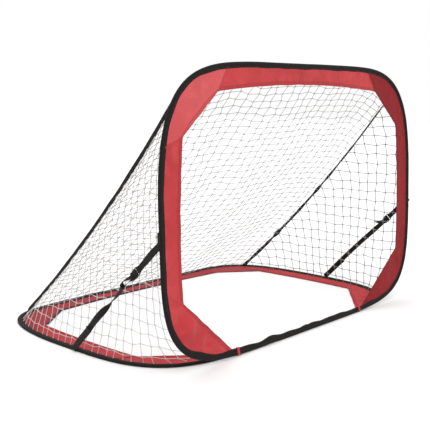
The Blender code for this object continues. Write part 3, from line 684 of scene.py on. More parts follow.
def make_sleeve(hoop, loose, low_side):
    stations = 1100
    s = np.arange(stations + 1) * hoop.total / stations
    width = sleeve_width(hoop, s[:-1], loose)
    share = (1 - np.cos(np.linspace(0, np.pi, 16))) / 2
    share = np.concatenate([share, share[-1:0:-1]])
    sign = np.concatenate([np.ones(16), -np.ones(15)])
    u = width[:, None] * share[None]
    ss = np.repeat(s[:-1, None], len(share), axis=1)
    half = sleeve_half(u, width[:, None])
    seed = 20 + len(hoop.body)
    angle = 2 * np.pi * ss / hoop.total * 12
    slack = Waves(seed, 0.045)(ss, u * 2.0 * sign) * 0.05
    pucker = Waves(seed + 1, 0.013, dims=1)(ss + 0.004 * sign) * 0.00022 * smooth_step(share, 0.45, 0.85)
    groove = 0.0003 * np.exp(-((u - width[:, None] + 0.0028) / 0.0007) ** 2)
    slack = slack * smooth_step(share, 0.02, 0.2)
    w = sign * (half * (1 + slack) + pucker * smooth_step(share, 0, 0.3) - groove)
    w = np.where(share > 0.001, w, 0.0)
    if low_side is not None:
        w = np.maximum(w, low_side)
    drift = 0.0004 * np.sin(angle)
    rings = hoop.point(ss, u + drift * (share > 0), w)
    ring_step = np.linalg.norm(np.diff(np.stack([u[0], w[0]], axis=1), axis=0), axis=1)
    round_it = np.concatenate([[0.0], np.cumsum(ring_step), [np.sum(ring_step) + SLEEVE_HALF * 0.3]])
    name = f"{hoop.body}_sleeve_cloth"
    piece = loft_piece(name, rings, s, round_it, MATERIALS["sleeve"], "black_sleeve", closed=True)
    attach(piece, hoop.body)
    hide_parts(f"{hoop.body}_sleeve")
    row = sleeve_width(hoop, s, loose) - 0.0028
    lift = sleeve_half(row, sleeve_width(hoop, s, loose)) - 0.0001
    lines = []
    for side in ((1, -1) if low_side is None else (1,)):
        lines.append(facing(hoop.w_axis * side, hoop.point(s, row, side * lift)))
    stitch_piece(f"{hoop.body}_sleeve_stitching", lines, "black_sleeve", hoop.body)


# ---------------------------------------------------------------- cloth panels

HEM_COLUMNS = np.array([0, 0.0005, 0.0013, 0.0022, 0.0031, 0.0046, 0.0066, 0.0086,
                        0.0098, 0.0107, 0.0115, 0.0126, 0.0170])
HEM_ROW_COLUMNS = (3, 8)
BODY_COLUMNS = 22


def bowed(first, last, shift, count=24):
    first, last, shift = (np.asarray(v, float) for v in (first, last, shift))
    t = np.linspace(0, 1, count + 1)[:, None]
    return first + (last - first) * t + shift * 4 * t * (1 - t)


def cloth_lift(hoop, s, ab, outer, inner, end, corner):
    """Height of the cloth off the hoop's plane: soft folds, puckers at the sleeve and at the hem."""
    a = ab[..., 0]
    b = ab[..., 1]
    seed = 40 + 7 * len(hoop.body) + (3 if corner is not None else 0)
    open_cloth = smooth_step(outer, 0.012, 0.055) * smooth_step(end, 0.0, 0.035)
    taut_hem = 0.12 + 0.88 * smooth_step(inner, 0.0, 0.06)
    if corner is None:
        folds = Waves(seed, 0.11)(a, b) * 0.0013
    else:
        along = (a * corner[0] + b * corner[1]) / math.sqrt(2)
        across = (a * corner[1] - b * corner[0]) / math.sqrt(2)
        height = 0.0062 if hoop is FRONT and corner == (-1, -1) else 0.0026
        seed_here = seed + int(3 * corner[0] + corner[1])
        folds = Waves(seed_here, 0.085, squeeze=(0.4, 1.2))(along, across) * height
    ripples = Waves(seed + 1, 0.034)(a, b) * 0.0003
    gather = Waves(seed + 2, 0.013, dims=1)(s) * 0.00045 * np.exp(-((outer - 0.018) / 0.009) ** 2)
    gather = gather + Waves(seed + 5, 0.040, dims=1)(s) * 0.0006 * np.exp(-((outer - 0.027) / 0.02) ** 2)
    gather = gather * smooth_step(outer, 0.010, 0.018)
    hem = Waves(seed + 3, 0.03, dims=1)(s) * 0.0002 * np.exp(-inner / 0.014)
    near_seam = smooth_step(end, 0.0, 0.012)
    small = ripples * smooth_step(outer, 0.006, 0.02) * taut_hem + gather + hem
    return folds * open_cloth * taut_hem + small * near_seam


def floor_sag(outer):
    """The base hoop's cloth hangs from the sleeve to the ground."""
    return -0.0021 * smooth_step(outer, 0.008, 0.04)


def make_panel(hoop, node, start, end, edge, material, corner=None):
    count = max(10, int((end - start) / 0.0042))
    s = np.linspace(start, end, count)
    edge = np.asarray(edge, float)
    edge_arc = path_lengths(edge)
    wanted = (s - start) / (end - start) * edge_arc[-1]
    inner_ab = np.stack([np.interp(wanted, edge_arc, edge[:, k]) for k in (0, 1)], axis=1)
    outer_ab = hoop.plane(s, np.full(count, SLEEVE_WIDTH - PANEL_TUCK))
    inner_ab = inner_ab + unit(outer_ab - inner_ab) * (Waves(71, 0.09, dims=1)(s) * 0.0004)[:, None]
    reach = np.linalg.norm(outer_ab - inner_ab, axis=1)
    shrink = np.minimum(1.0, reach / 0.030)[:, None]
    hem = HEM_COLUMNS[None] * shrink
    rest = np.linspace(0, 1, BODY_COLUMNS + 1)[None, 1:]
    inner = np.concatenate([hem, hem[:, -1:] + rest * (reach[:, None] - hem[:, -1:])], axis=1)
    outer = reach[:, None] - inner
    ab = inner_ab[:, None] + (outer_ab - inner_ab)[:, None] * (inner / reach[:, None])[..., None]
    ss = np.repeat(s[:, None], inner.shape[1], axis=1)
    to_end = np.minimum(ss - start, end - ss)
    lift = cloth_lift(hoop, ss, ab, outer, inner, to_end, corner)
    doubled = 1 - smooth_step(inner, HEM_WIDTH * shrink, (HEM_WIDTH + 0.0011) * shrink)
    half = CLOTH / 2 + (HEM - CLOTH) / 2 * doubled
    for row in HEM_ROWS:
        half = half - 0.00016 * np.exp(-((inner - row * shrink) / 0.0006) ** 2)
    if hoop is BASE:
        lift = np.maximum(lift * 0.75 + floor_sag(outer), 0.0005 + half - SLEEVE_HALF)
    top = hoop.space(ab, lift + half)
    bottom = hoop.space(ab, lift - half)
    rings = np.concatenate([top, bottom[:, ::-1]], axis=1)
    round_it = np.concatenate([inner.mean(axis=0), inner.mean(axis=0)[::-1], [0.0]])
    piece = loft_piece(f"{node}_cloth", rings, s, round_it, material, "red_cloth")
    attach(piece, hoop.body)
    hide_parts(node)
    lines = []
    sides = (1, -1) if hoop is FRONT else (1,)
    for column in HEM_ROW_COLUMNS:
        for side in sides:
            path = hoop.space(ab[:, column], lift[:, column] + side * half[:, column])
            lines.append(facing(hoop.w_axis * side, path))
    return lines


def make_panels(hoop, far_name, near_name, tones):
    prefix = hoop.body
    far_b = hoop.length - BAND_END_WIDTH
    hem_lines = []
    seam_ends = []
    arcs = {}
    for word, side in (("right", 1), ("left", -1)):
        arcs[word] = {
            "near": hoop.near_arc_where(side * NEAR_CORNER_X[word]),
            "side_near": hoop.arc_where(1, SIDE_NEAR_SEAM, side),
            "side_far": hoop.arc_where(1, SIDE_FAR_SEAM, side),
            "far": hoop.arc_where(0, side * END_SEAM_X, side),
        }
        run_out = (side * NEAR_CORNER_X[word], SLEEVE_WIDTH)
        near = (side * (HOOP_HALF - SIDE_NEAR_VERTEX[0]), SIDE_NEAR_VERTEX[1])
        if hoop is FRONT:
            near = (near[0] + NEAR_VERTEX_SHIFT[word][0], near[1] + NEAR_VERTEX_SHIFT[word][1])
        far = (side * (HOOP_HALF - SIDE_FAR_VERTEX[0]), SIDE_FAR_VERTEX[1])
        end = (side * END_VERTEX_X, far_b)
        shift = (side * (SIDE_FAR_VERTEX[0] + SIDE_NEAR_VERTEX[0] - 2 * SIDE_MID_WIDTH) / 2, 0)
        pieces = [
            (f"corner_{near_name}_{word}", "near", "side_near", bowed(run_out, near, (0, 0)), (side, -1)),
            (f"band_{word}", "side_near", "side_far", bowed(near, far, shift), None),
            (f"corner_{far_name}_{word}", "side_far", "far", bowed(far, end, (0, 0)), (side, 1)),
        ]
        for piece, first, second, edge, corner in pieces:
            limits = (arcs[word][first], arcs[word][second])
            if side < 0:
                limits = limits[::-1]
                edge = edge[::-1]
            tone = MATERIALS[tones.get(piece, "cloth")]
            hem_lines += make_panel(hoop, f"{prefix}_{piece}", *limits, edge, tone, corner)
        seam_ends += zip([arcs[word][place] for place in ("side_near", "side_far", "far")], (near, far, end))
    edge = bowed((END_VERTEX_X, far_b), (-END_VERTEX_X, far_b), (0, BAND_END_WIDTH - BAND_MID_WIDTH))
    band = f"band_{far_name}"
    tone = MATERIALS[tones.get(band, "cloth")]
    hem_lines += make_panel(hoop, f"{prefix}_{band}", arcs["right"]["far"], arcs["left"]["far"], edge, tone)
    stitch_piece(f"{prefix}_hem_stitching", hem_lines, "red_cloth", prefix)
    make_seams(hoop, seam_ends)


def make_seams(hoop, seam_ends):
    """Felled seams between neighbouring panels, each with two rows of stitching."""
    parts = {"hem": [], "cloth": [], "shade": []}
    lines = []
    sides = (1, -1) if hoop is FRONT else (1,)
    for s, vertex in seam_ends:
        tone = "hem"
        # The front hoop's right side seams take the much darker copy of the cloth: painted shade
        if hoop is FRONT:
            tone = "shade" if vertex[0] > 0 else "cloth"
        outer_ab = hoop.plane(np.array([s]), np.array([SLEEVE_WIDTH - 0.003]))[0]
        t = np.linspace(0, 1, 24)[:, None]
        ab = outer_ab + (np.asarray(vertex) - outer_ab) * t
        run = path_lengths(ab)
        lift = np.zeros(len(ab)) if hoop is FRONT else floor_sag(run + PANEL_TUCK - 0.003) + 0.0003
        lift = lift + Waves(91, 0.03, dims=1)(run + s) * 0.0002
        centres = hoop.space(ab, lift)
        tangent = unit(centres[-1] - centres[0])
        across = np.repeat(unit(np.cross(tangent, hoop.w_axis))[None], len(centres), axis=0)
        rings = ribbon_rings(centres, across, SEAM_WIDTH, 0.0019)
        along, round_it = ribbon_uv(centres, SEAM_WIDTH)
        points, faces, uv = lofted(rings, along, round_it, closed=False)
        parts[tone].append((points, faced_out(points, faces), uv + [0.0, HEM_WIDTH + 0.006]))
        for offset in (-0.0021, 0.0021):
            for side in sides:
                path = centres + across * offset + hoop.w_axis * side * 0.00085
                lines.append(facing(hoop.w_axis * side, path))
    for tone, strips in parts.items():
        if strips:
            piece = mesh_piece(f"{hoop.body}_seams_{tone}", *joined(strips), MATERIALS[tone], "red_cloth")
            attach(piece, hoop.body)
    stitch_piece(f"{hoop.body}_seam_stitching", lines, "red_cloth", hoop.body)


def make_dark_edge_strip():
    """Black strip with a row of stitching along the base's inner edge, on its rear left diagonal and most of
    the rear.
    """
    far_b = BASE.length - BAND_END_WIDTH
    first = np.array([SIDE_FAR_VERTEX[0] - HOOP_HALF, SIDE_FAR_VERTEX[1]])
    corner = np.array([-END_VERTEX_X, far_b])
    bow = BAND_END_WIDTH - BAND_MID_WIDTH
    x = np.linspace(-END_VERTEX_X, DARK_STRIP_END_X, 90)
    rear = np.stack([x, far_b + bow * (1 - (x / END_VERTEX_X) ** 2)], axis=1)
    diagonal = first + (corner - first) * np.linspace(0.08, 0.97, 30)[:, None]
    ab = resampled(np.concatenate([diagonal, rear[2:]]), 0.003)
    ahead = unit(np.gradient(ab, axis=0))
    ab = ab + np.stack([ahead[:, 1], -ahead[:, 0]], axis=1) * (DARK_STRIP_WIDTH / 2 - 0.0012)
    run = path_lengths(ab)
    wobble = Waves(801, 0.05, dims=1)(run)
    centres = BASE.space(ab, -SLEEVE_HALF + 0.0022 + 0.0002 * wobble)
    across = np.cross(np.array([0.0, 0.0, 1.0]), unit(np.gradient(centres, axis=0)))
    width = DARK_STRIP_WIDTH * (1 + 0.08 * Waves(802, 0.04, dims=1)(run))
    piece = ribbon_piece("base_rear_dark_strip", centres, across, width, DARK_STRIP_THICK)
    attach(piece, "base")
    line = facing((0.0, 0.0, 1.0), centres + np.array([0.0, 0.0, DARK_STRIP_THICK / 2 - 0.00005]))
    stitch_piece("base_rear_binding_stitching", [line], "black_webbing", "base")


# ---------------------------------------------------------------- baking pieces in place; each point's share of the fold

def fold(piece, weights):
    """Bakes the piece's transform into its mesh; the piece does not turn with the front hoop. weights, its
    share of the fold (0 on the base, 1 on the front hoop), is not used.
    """
    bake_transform(piece)


def points_of(piece):
    co = np.zeros(len(piece.data.vertices) * 3)
    piece.data.vertices.foreach_get("co", co)
    return co.reshape(-1, 3)


def polar_share(points):
    """How far round the hinge a point lies, from the base hoop to the front hoop."""
    angle = np.arctan2(points[:, 2] - HINGE_Z, points[:, 1] - HINGE_Y)
    return np.clip(angle / (math.pi / 2 - LEAN), 0, 1)


# ---------------------------------------------------------------- net

BACK_INWARD = unit(np.array([0.0, -FRONT_HEIGHT, -BASE_DEPTH]))


def net_edges(word):
    side = 1 if word == "right" else -1
    return {
        "top": FRONT.arc_where(0, side * RIB_TOP_X, side),
        "foot": BASE.arc_where(0, side * RIB_BASE_X[word], side),
        "near_top": FRONT.arc_where(1, NET_NEAR_EDGE, side),
        "near_foot": BASE.arc_where(1, NET_NEAR_EDGE, side),
    }


def on_hoop(hoop, s):
    s = np.asarray(s, float)
    return hoop.point(s, np.full(s.shape, NET_ATTACH_U[hoop.body]), np.full(s.shape, NET_ATTACH_W))


def back_point(share, t):
    """Point of the back panel: share from the right seam to the left, t from the front hoop to the base."""
    right, left = net_edges("right"), net_edges("left")
    top = on_hoop(FRONT, right["top"] + (left["top"] - right["top"]) * share)
    foot = on_hoop(BASE, right["foot"] + (left["foot"] - right["foot"]) * share)
    depth = RIB_SAG + (NET_BACK_SAG - RIB_SAG) * np.sin(np.pi * share)
    sag = BACK_INWARD * (depth * 4 * t * (1 - t))[..., None]
    return top + (foot - top) * t[..., None] + sag


def side_grid(word, count=70):
    side = 1 if word == "right" else -1
    edges = net_edges(word)
    share, t = np.meshgrid(np.linspace(0, 1, count), np.linspace(0, 1, count), indexing="ij")
    top = on_hoop(FRONT, edges["near_top"] + (edges["top"] - edges["near_top"]) * share)
    foot = on_hoop(BASE, edges["near_foot"] + (edges["foot"] - edges["near_foot"]) * share)
    push = (-side * NET_SIDE_SAG * np.sin(np.pi * share))[..., None] * np.array([1.0, 0, 0])
    sag = (BACK_INWARD * (RIB_SAG * share ** 2)[..., None] + push) * (4 * t * (1 - t))[..., None]
    return top + (foot - top) * t[..., None] + sag


def cord_through(nodes, seed, radius):
    """Centreline and radii of one cord through its knots: nearly straight between them, thick at each."""
    rng = np.random.default_rng(seed)
    shares = np.array([0.0, 0.10, 0.5, 0.90])
    path = []
    radii = []
    for a, b in zip(nodes[:-1], nodes[1:]):
        length = np.linalg.norm(b - a)
        bend = rng.normal(size=3) * 0.012 * length
        for share in shares:
            path.append(a + (b - a) * share + bend * 4 * share * (1 - share))
            radii.append(KNOT_SWELL * radius if share == 0 else (1.15 if share != 0.5 else 0.92) * radius)
    path.append(nodes[-1])
    radii.append(KNOT_SWELL * radius)
    return np.array(path), np.array(radii)


def net_piece(name, runs, node, seed, radius=CORD_RADIUS, material="cord"):
    parts = []
    for k, nodes in enumerate(runs):
        if len(nodes) > 1:
            parts.append(tube_parts(*cord_through(np.asarray(nodes), seed + k, radius)))
    piece = mesh_piece(name, *joined(parts), MATERIALS[material], "white_net")
    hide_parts(node)
    fold(piece, polar_share(points_of(piece)))


def make_back_net():
    columns = 27
    rows = 40
    share = (np.arange(columns) + 0.5) / columns
    t = np.concatenate([[0.0], ((np.arange(rows) + 0.5) / rows) ** 1.15, [1.0]])
    share_all = np.concatenate([[0.0], share, [1.0]])
    i, j = np.meshgrid(np.arange(len(share_all)), np.arange(len(t)), indexing="ij")
    inside = (i > 0) & (i < len(share_all) - 1) & (j > 0) & (j < len(t) - 1)
    zigzag = np.where((i + j) % 2 == 0, 1.0, -1.0)
    drift = Waves(301, 9.0)(i, j)
    sway = Waves(302, 8.0)(i, j)
    rng = np.random.default_rng(303)
    step_share = 1.0 / columns
    step_t = 1.0 / rows
    pull_share = (zigzag * 0.075 + drift * 0.06 + rng.normal(0, 0.035, i.shape)) * step_share * inside
    pull_t = (zigzag * 0.085 + sway * 0.07 + rng.normal(0, 0.035, i.shape)) * step_t * inside
    knots = back_point(share_all[i] + pull_share, t[j] + pull_t)
    knots = knots + BACK_INWARD * (Waves(304, 7.0)(i, j) * 0.004 * inside)[..., None]
    runs = [knots[k] for k in range(1, len(share_all) - 1)]
    runs += [knots[:, k] for k in range(1, len(t) - 1)]
    # The back net's cords take the greyer copy of the white cord: painted shade
    net_piece("net_back_cords", runs, "net_back", 1000, material="cord_back_painted_shade")


def make_side_net(word):
    """Square mesh hung level: cords upright and level, cut off at the seam and at the two hoops."""
    side = 1 if word == "right" else -1
    grid = side_grid(word)
    count = grid.shape[0]
    i, j = (g.ravel() for g in np.meshgrid(np.arange(count - 1), np.arange(count - 1), indexing="ij"))
    quads = np.stack([i * count + j, i * count + j + 1, (i + 1) * count + j + 1, (i + 1) * count + j], axis=1)
    tree = BVHTree.FromPolygons(grid.reshape(-1, 3).tolist(), quads.tolist())

    def hit(y, z):
        found = tree.ray_cast(Vector((0.0, float(y), float(z))), Vector((side, 0.0, 0.0)))[0]
        return None if found is None else np.array(found)

    seed = 400 + side
    drift_y, drift_z = Waves(seed, 6.5), Waves(seed + 10, 5.5)
    rng = np.random.default_rng(seed)
    y0 = grid[..., 1].min()
    z0 = grid[..., 2].min()
    pitch_y, pitch_z = SIDE_MESH[word]
    steps = int(0.86 / min(pitch_y, pitch_z)) + 1
    noise = rng.normal(0, 0.022, (steps, steps, 2))
    knots = {}
    for a in range(steps):
        for b in range(steps):
            zig = 0.055 if (a + b) % 2 else -0.055
            y = y0 + pitch_y * (a + 0.45 + zig + 0.055 * float(drift_y(a, b)) + noise[a, b, 0])
            z = z0 + pitch_z * (b + 0.50 + zig + 0.055 * float(drift_z(a, b)) + noise[a, b, 1])
            found = hit(y, z)
            if found is not None:
                knots[a, b] = found

    def edge_point(inner, beyond):
        """Where the line from a knot towards a place off the net leaves it."""
        low, high = 0.0, 1.0
        best = inner
        for _ in range(9):
            middle = (low + high) / 2
            spot = inner + (beyond - inner) * middle
            found = hit(spot[1], spot[2])
            if found is None:
                high = middle
            else:
                low = middle
                best = found
        return best

    runs = []
    for upright in (True, False):
        for a in range(steps):
            run = [knots.get((a, b) if upright else (b, a)) for b in range(steps)]
            present = [k for k, p in enumerate(run) if p is not None]
            if not present:
                continue
            first, last = present[0], present[-1]
            nodes = [p for p in run[first:last + 1] if p is not None]
            step = np.array([0.0, 0.0, pitch_z]) if upright else np.array([0.0, pitch_y, 0.0])
            before = edge_point(nodes[0], nodes[0] - step)
            after = edge_point(nodes[-1], nodes[-1] + step)
            runs.append([before] + nodes + [after])
    # The right net's cords are thicker and take the dark grey copy of the white cord: painted shade
    shaded = {"radius": SHADED_CORD_RADIUS, "material": "cord_painted_shade"} if word == "right" else {}
    net_piece(f"net_{word}_cords", runs, f"net_{word}", 2000 + 500 * side, **shaded)


# ---------------------------------------------------------------- seam tapes

def make_rib(word):
    side = 1 if word == "right" else -1
    edges = net_edges(word)
    top = on_hoop(FRONT, edges["top"])
    foot = on_hoop(BASE, edges["foot"])
    out = np.array([side, 0.0, 0.0])
    t = np.linspace(0.0, 1.0, 170)
    run = t * np.linalg.norm(foot - top)
    ease = smooth_step(np.minimum(t, 1 - t), 0.0, 0.10)
    clear = out * 0.0026 - BACK_INWARD * RIB_OUTSET[word]
    sag = BACK_INWARD * (RIB_SAG * 4 * t * (1 - t))[:, None]
    clear = clear * smooth_step(np.minimum(t, 1 - t), 0.0, 0.03)[:, None]
    centres = top + (foot - top) * t[:, None] + sag + clear
    centres = centres + out * (Waves(500 + side, 0.14, dims=1)(run) * 0.0004 * ease)[:, None]
    flat = unit(np.cross(out, foot - top))
    turn = Waves(510 + side, 0.30, dims=1)(run) * 0.08 * ease
    across = turned(flat, out, turn)
    uneven = RIB_UNEVEN[word] * Waves(520 + side, 0.09, dims=1)(run)
    width = np.interp(t, (0.1, 0.8), RIB_WIDTHS[word]) * (1 + uneven)
    piece = ribbon_piece(f"rib_tape_{word}_web", centres, across, width, RIB_THICK, "rib")
    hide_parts(f"rib_tape_{word}")
    fold(piece, polar_share(points_of(piece)))
    normal = unit(np.cross(np.gradient(centres, axis=0), across))
    lines = []
    for sign in (1, -1):
        for offset in (-0.0026, 0.0026):
            path = centres + across * offset + normal * sign * (RIB_THICK / 2 - 0.00005)
            lines.append((path, normal * sign))
    stitches = stitch_piece(f"rib_tape_{word}_stitching", lines, "black_webbing")
    fold(stitches, polar_share(points_of(stitches)))


# ---------------------------------------------------------------- straps

class Strap:
    """Line of a side strap: s down it from the front hoop, n out from the goal, c across the webbing."""

    def __init__(self, word):
        self.word = word
        self.side = 1 if word == "right" else -1
        half = WEB_WIDTH / 2 * math.sqrt(0.5)
        start_y = FRONT_FACE_Y + half + STRAP_FRONT_Z * math.tan(LEAN)
        plane_x = self.side * (HOOP_HALF + STRAP_OFFSET)
        self.start = np.array([plane_x, start_y, STRAP_FRONT_Z])
        end = np.array([plane_x, HINGE_Y + STRAP_BASE_Y, half + 0.0006])
        self.length = float(np.linalg.norm(end - self.start))
        self.along = (end - self.start) / self.length
        self.outward = np.array([self.side, 0.0, 0.0])
        self.across = np.cross(self.along, self.outward)

    def place(self, s, n, c=0.0):
        s, n, c = (np.asarray(v, float)[..., None] for v in (s, n, c))
        return self.start + self.along * s + self.outward * n + self.across * c

    def position(self, points):
        return (points - self.start) @ self.along

    def swing(self, points):
        """Share of the fold at each point: all at the front hoop, the buckle's share beside the buckle."""
        s = np.clip(self.position(points), 0, self.length)
        line = self.place(np.linspace(0, self.length, 60), np.zeros(60))
        polar = polar_share(line)
        stations = np.linspace(0, self.length, 60)
        share = np.interp(s, stations, polar)
        low, high = RIGID_WEBBING
        at_low, at_high = np.interp([low, high], stations, polar)
        upper = SWING_RATIO + (1 - SWING_RATIO) * (share - at_low) / (1 - at_low)
        lower = SWING_RATIO * share / at_high
        return np.clip(np.where(s < low, upper, np.where(s > high, lower, SWING_RATIO)), 0, 1)

    def carry(self, piece):
        fold(piece, self.swing(points_of(piece)))


STRAPS = {word: Strap(word) for word in ("left", "right")}


def buckle_marks():
    marks = []
    s = BUCKLE_START
    for bar in BUCKLE_BARS:
        marks.append((s, s + bar))
        s += bar + BUCKLE_SLOT
    return marks


def smooth_run(strap, path, step=0.0012):
    """World points along a smooth curve through (s, n, c) stations."""
    fine = resampled(np.array([(p + (0.0,))[:3] for p in path]), step)
    return strap.place(fine[:, 0], fine[:, 1], fine[:, 2])


def box_stitch(strap, s0, s1, n):
    """Outline and cross of a sewn box, from s0 to s1 down the strap."""
    half = WEB_WIDTH / 2 - 0.0028
    corners = [(s0, -half), (s0, half), (s1, half), (s1, -half), (s0, -half), (s1, half)]
    lines = []
    for a, b in list(zip(corners[:-1], corners[1:])) + [((s0, half), (s1, -half))]:
        t = np.linspace(0, 1, 14)
        path = strap.place(a[0] + (b[0] - a[0]) * t, np.full(14, n), a[1] + (b[1] - a[1]) * t)
        lines.append(facing(strap.outward, path))
    return lines


def make_buckle_webbing(strap):
    """Doubled webbing sewn to the front hoop and looped round the buckle's first bar."""
    lie = WEB_THICK / 2
    near = lie + 0.00015
    against = -STRAP_OFFSET + 0.0008
    bar_start, bar_end = buckle_marks()[0]
    bend = 0.0014
    wrap = BUCKLE_THICK / 2 + bend
    path = [
        (-0.004, against), (0.008, against), (STRAP_SEWN, against + 0.0002), (0.026, -near - 0.0008),
        (0.045, -near - 0.0002), (0.070, -near), (bar_start - 0.010, -near - 0.0003),
        (bar_start - 0.003, -wrap + 0.0006), (bar_start + 0.002, -wrap),
        (bar_end + bend, -BUCKLE_THICK / 2 + 0.0003), (bar_end + bend + 0.0003, BUCKLE_THICK / 2 - 0.0003),
        (bar_start + 0.002, wrap), (bar_start - 0.003, wrap - 0.0006),
        (bar_start - 0.010, near + 0.0003), (0.070, near), (0.045, near + 0.0002), (0.026, near + 0.0004),
        (STRAP_SEWN, against + 2 * near + 0.0003), (0.006, against + 2 * near),
    ]
    centres = smooth_run(strap, path)
    s = strap.position(centres)
    turn = UPPER_TURNS[strap.word] * smooth_step(s, 0.018, 0.045) * smooth_step(s, 0.094, 0.070)
    across = turned(strap.across, strap.outward, turn)
    width = BUCKLE_WEB + (WEB_WIDTH - BUCKLE_WEB) * smooth_step(s, 0.080, 0.050)
    piece = ribbon_piece(f"{strap.word}_buckle_web", centres, across, width, WEB_THICK)
    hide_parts(f"{strap.word}_buckle_webbing")
    strap.carry(piece)
    lines = box_stitch(strap, 0.040, 0.060, near + lie)
    lines += box_stitch(strap, 0.002, 0.014, against + 2 * near + lie)
    strap.carry(stitch_piece(f"{strap.word}_buckle_web_stitching", lines, "black_webbing", **BOX_STITCH))


def make_hoop_tab(strap):
    """Tab of the same webbing that runs up the front hoop's side from the strap and is sewn to it."""
    x = strap.side * (HOOP_HALF + 0.0009)
    z = np.linspace(STRAP_FRONT_Z - 0.012, STRAP_FRONT_Z + 0.034, 40)
    y = FRONT_FACE_Y + SLEEVE_HALF + z * math.tan(LEAN)
    centres = np.stack([np.full(40, x) + strap.side * 0.0004 * np.sin(z * 90), y, z], axis=1)
    across = np.repeat(np.array([[0.0, 1.0, 0.0]]), 40, axis=0)
    piece = ribbon_piece(f"{strap.word}_hoop_tab", centres, across, TAB_WIDTH, TAB_THICK)
    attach(piece, "front")
    lines = []
    for offset in (-0.0035, 0.0035):
        lines.append(facing(strap.outward, centres + np.array([strap.side * 0.0006, offset, 0.0])))
    stitch_piece(f"{strap.word}_hoop_tab_stitching", lines, "black_webbing", "front")


STRAP_WIDTHS = {"left": 0.0195, "right": 0.0175}     # below the buckle
UPPER_TURNS = {"left": 0.0, "right": 0.60}          # twist of the webbing above the buckle
EDGE_ON = -1.13
TWISTS = {
    "left": [(0.150, EDGE_ON), (0.163, EDGE_ON), (0.190, -0.55), (0.212, -0.55), (0.246, EDGE_ON),
             (0.285, -2.3), (0.320, -2.95), (0.345, -math.pi), (0.490, -math.pi)],
    "right": [(0.150, 0.0), (0.190, 0.42), (0.300, 0.50), (0.390, 0.34), (0.440, 0.0), (0.490, 0.0)],
}
TAILS = {
    "left": [(0.006, 0.0040, 0.0), (0.013, 0.0150, 0.001), (0.024, 0.0205, 0.002), (0.036, 0.0150, 0.001),
             (0.047, 0.0050, 0.0), (0.054, 0.0012, 0.0)],
    "right": [(0.006, 0.0012, 0.0), (0.014, 0.0042, -0.003), (0.026, 0.0092, -0.009), (0.038, 0.0145, -0.017),
              (0.049, 0.0200, -0.027)],
}


def make_strap(strap):
    """Long webbing from the base hoop up to the buckle, with its twist; then its turn and tail."""
    lie = WEB_THICK / 2
    against = -STRAP_OFFSET + 0.0008
    join = WEBBING_JOIN
    s = np.linspace(join, strap.length, 260)
    twist_s, twist = np.array(TWISTS[strap.word]).T
    turn = np.interp(s, twist_s, twist)
    kernel = np.hanning(15) / np.hanning(15).sum()
    turn = np.convolve(np.pad(turn, 7, mode="edge"), kernel, mode="valid")
    sewn = smooth_step(s, strap.length - 0.030, strap.length - STRAP_SEWN)
    span = (s - join) / (strap.length - join)
    hang = -0.0035 * np.sin(np.pi * np.clip(span, 0, 1)) ** 1.2
    sway = Waves(610 + strap.side, 0.12, dims=1)(s) * 0.0008 * np.sin(np.pi * np.clip(span, 0, 1))
    n = -lie + (against + lie) * sewn + sway
    c = hang * strap.side
    centres = strap.place(s, n, c)
    across = turned(strap.across, strap.outward, turn)
    settled = BUCKLE_WEB + (STRAP_WIDTHS[strap.word] - BUCKLE_WEB) * smooth_step(s, join, join + 0.03)
    width = np.minimum(settled, WEB_WIDTH + 0.05 * (strap.length - s)) * (1 - 0.10 * np.abs(np.sin(turn)))
    piece = ribbon_piece(f"{strap.word}_strap_web", centres, across, width, WEB_THICK)
    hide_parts(f"{strap.word}_strap_webbing")
    strap.carry(piece)

    bar_start = buckle_marks()[1][0]
    lower_end = buckle_marks()[2][1]
    wrap = BUCKLE_THICK / 2 + 0.0014
    path = [
        (join + 0.0012, -lie), (join - 0.004, -lie), (lower_end + 0.014, -lie - 0.0006),
        (lower_end + 0.005, -wrap + 0.0004), (bar_start + 0.008, -wrap), (bar_start + 0.002, -wrap + 0.0001),
        (bar_start - 0.0013, -BUCKLE_THICK / 2 + 0.0003), (bar_start - 0.0016, BUCKLE_THICK / 2 - 0.0003),
        (bar_start + 0.002, wrap - 0.0001), (lower_end - 0.002, wrap),
    ] + [(lower_end + ds, wrap + dn, dc) for ds, dn, dc in TAILS[strap.word]]
    centres = smooth_run(strap, path)
    run = path_lengths(centres)
    if strap.word == "left":
        in_tail = smooth_step(run, run[-1] - 0.070, run[-1] - 0.056)
        roll = EDGE_ON * (1 - smooth_step(run, 0.004, 0.024) + in_tail)
    else:
        roll = 0.9 * smooth_step(run, run[-1] - 0.045, run[-1])
    across = turned(strap.across, strap.outward, roll)
    tail = ribbon_piece(f"{strap.word}_strap_tail", centres, across, BUCKLE_WEB, WEB_THICK)
    pivot = strap.place(np.mean(buckle_marks()[0]), 0.0)
    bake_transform(tail)
    points = points_of(tail)
    reach = strap.position(points)


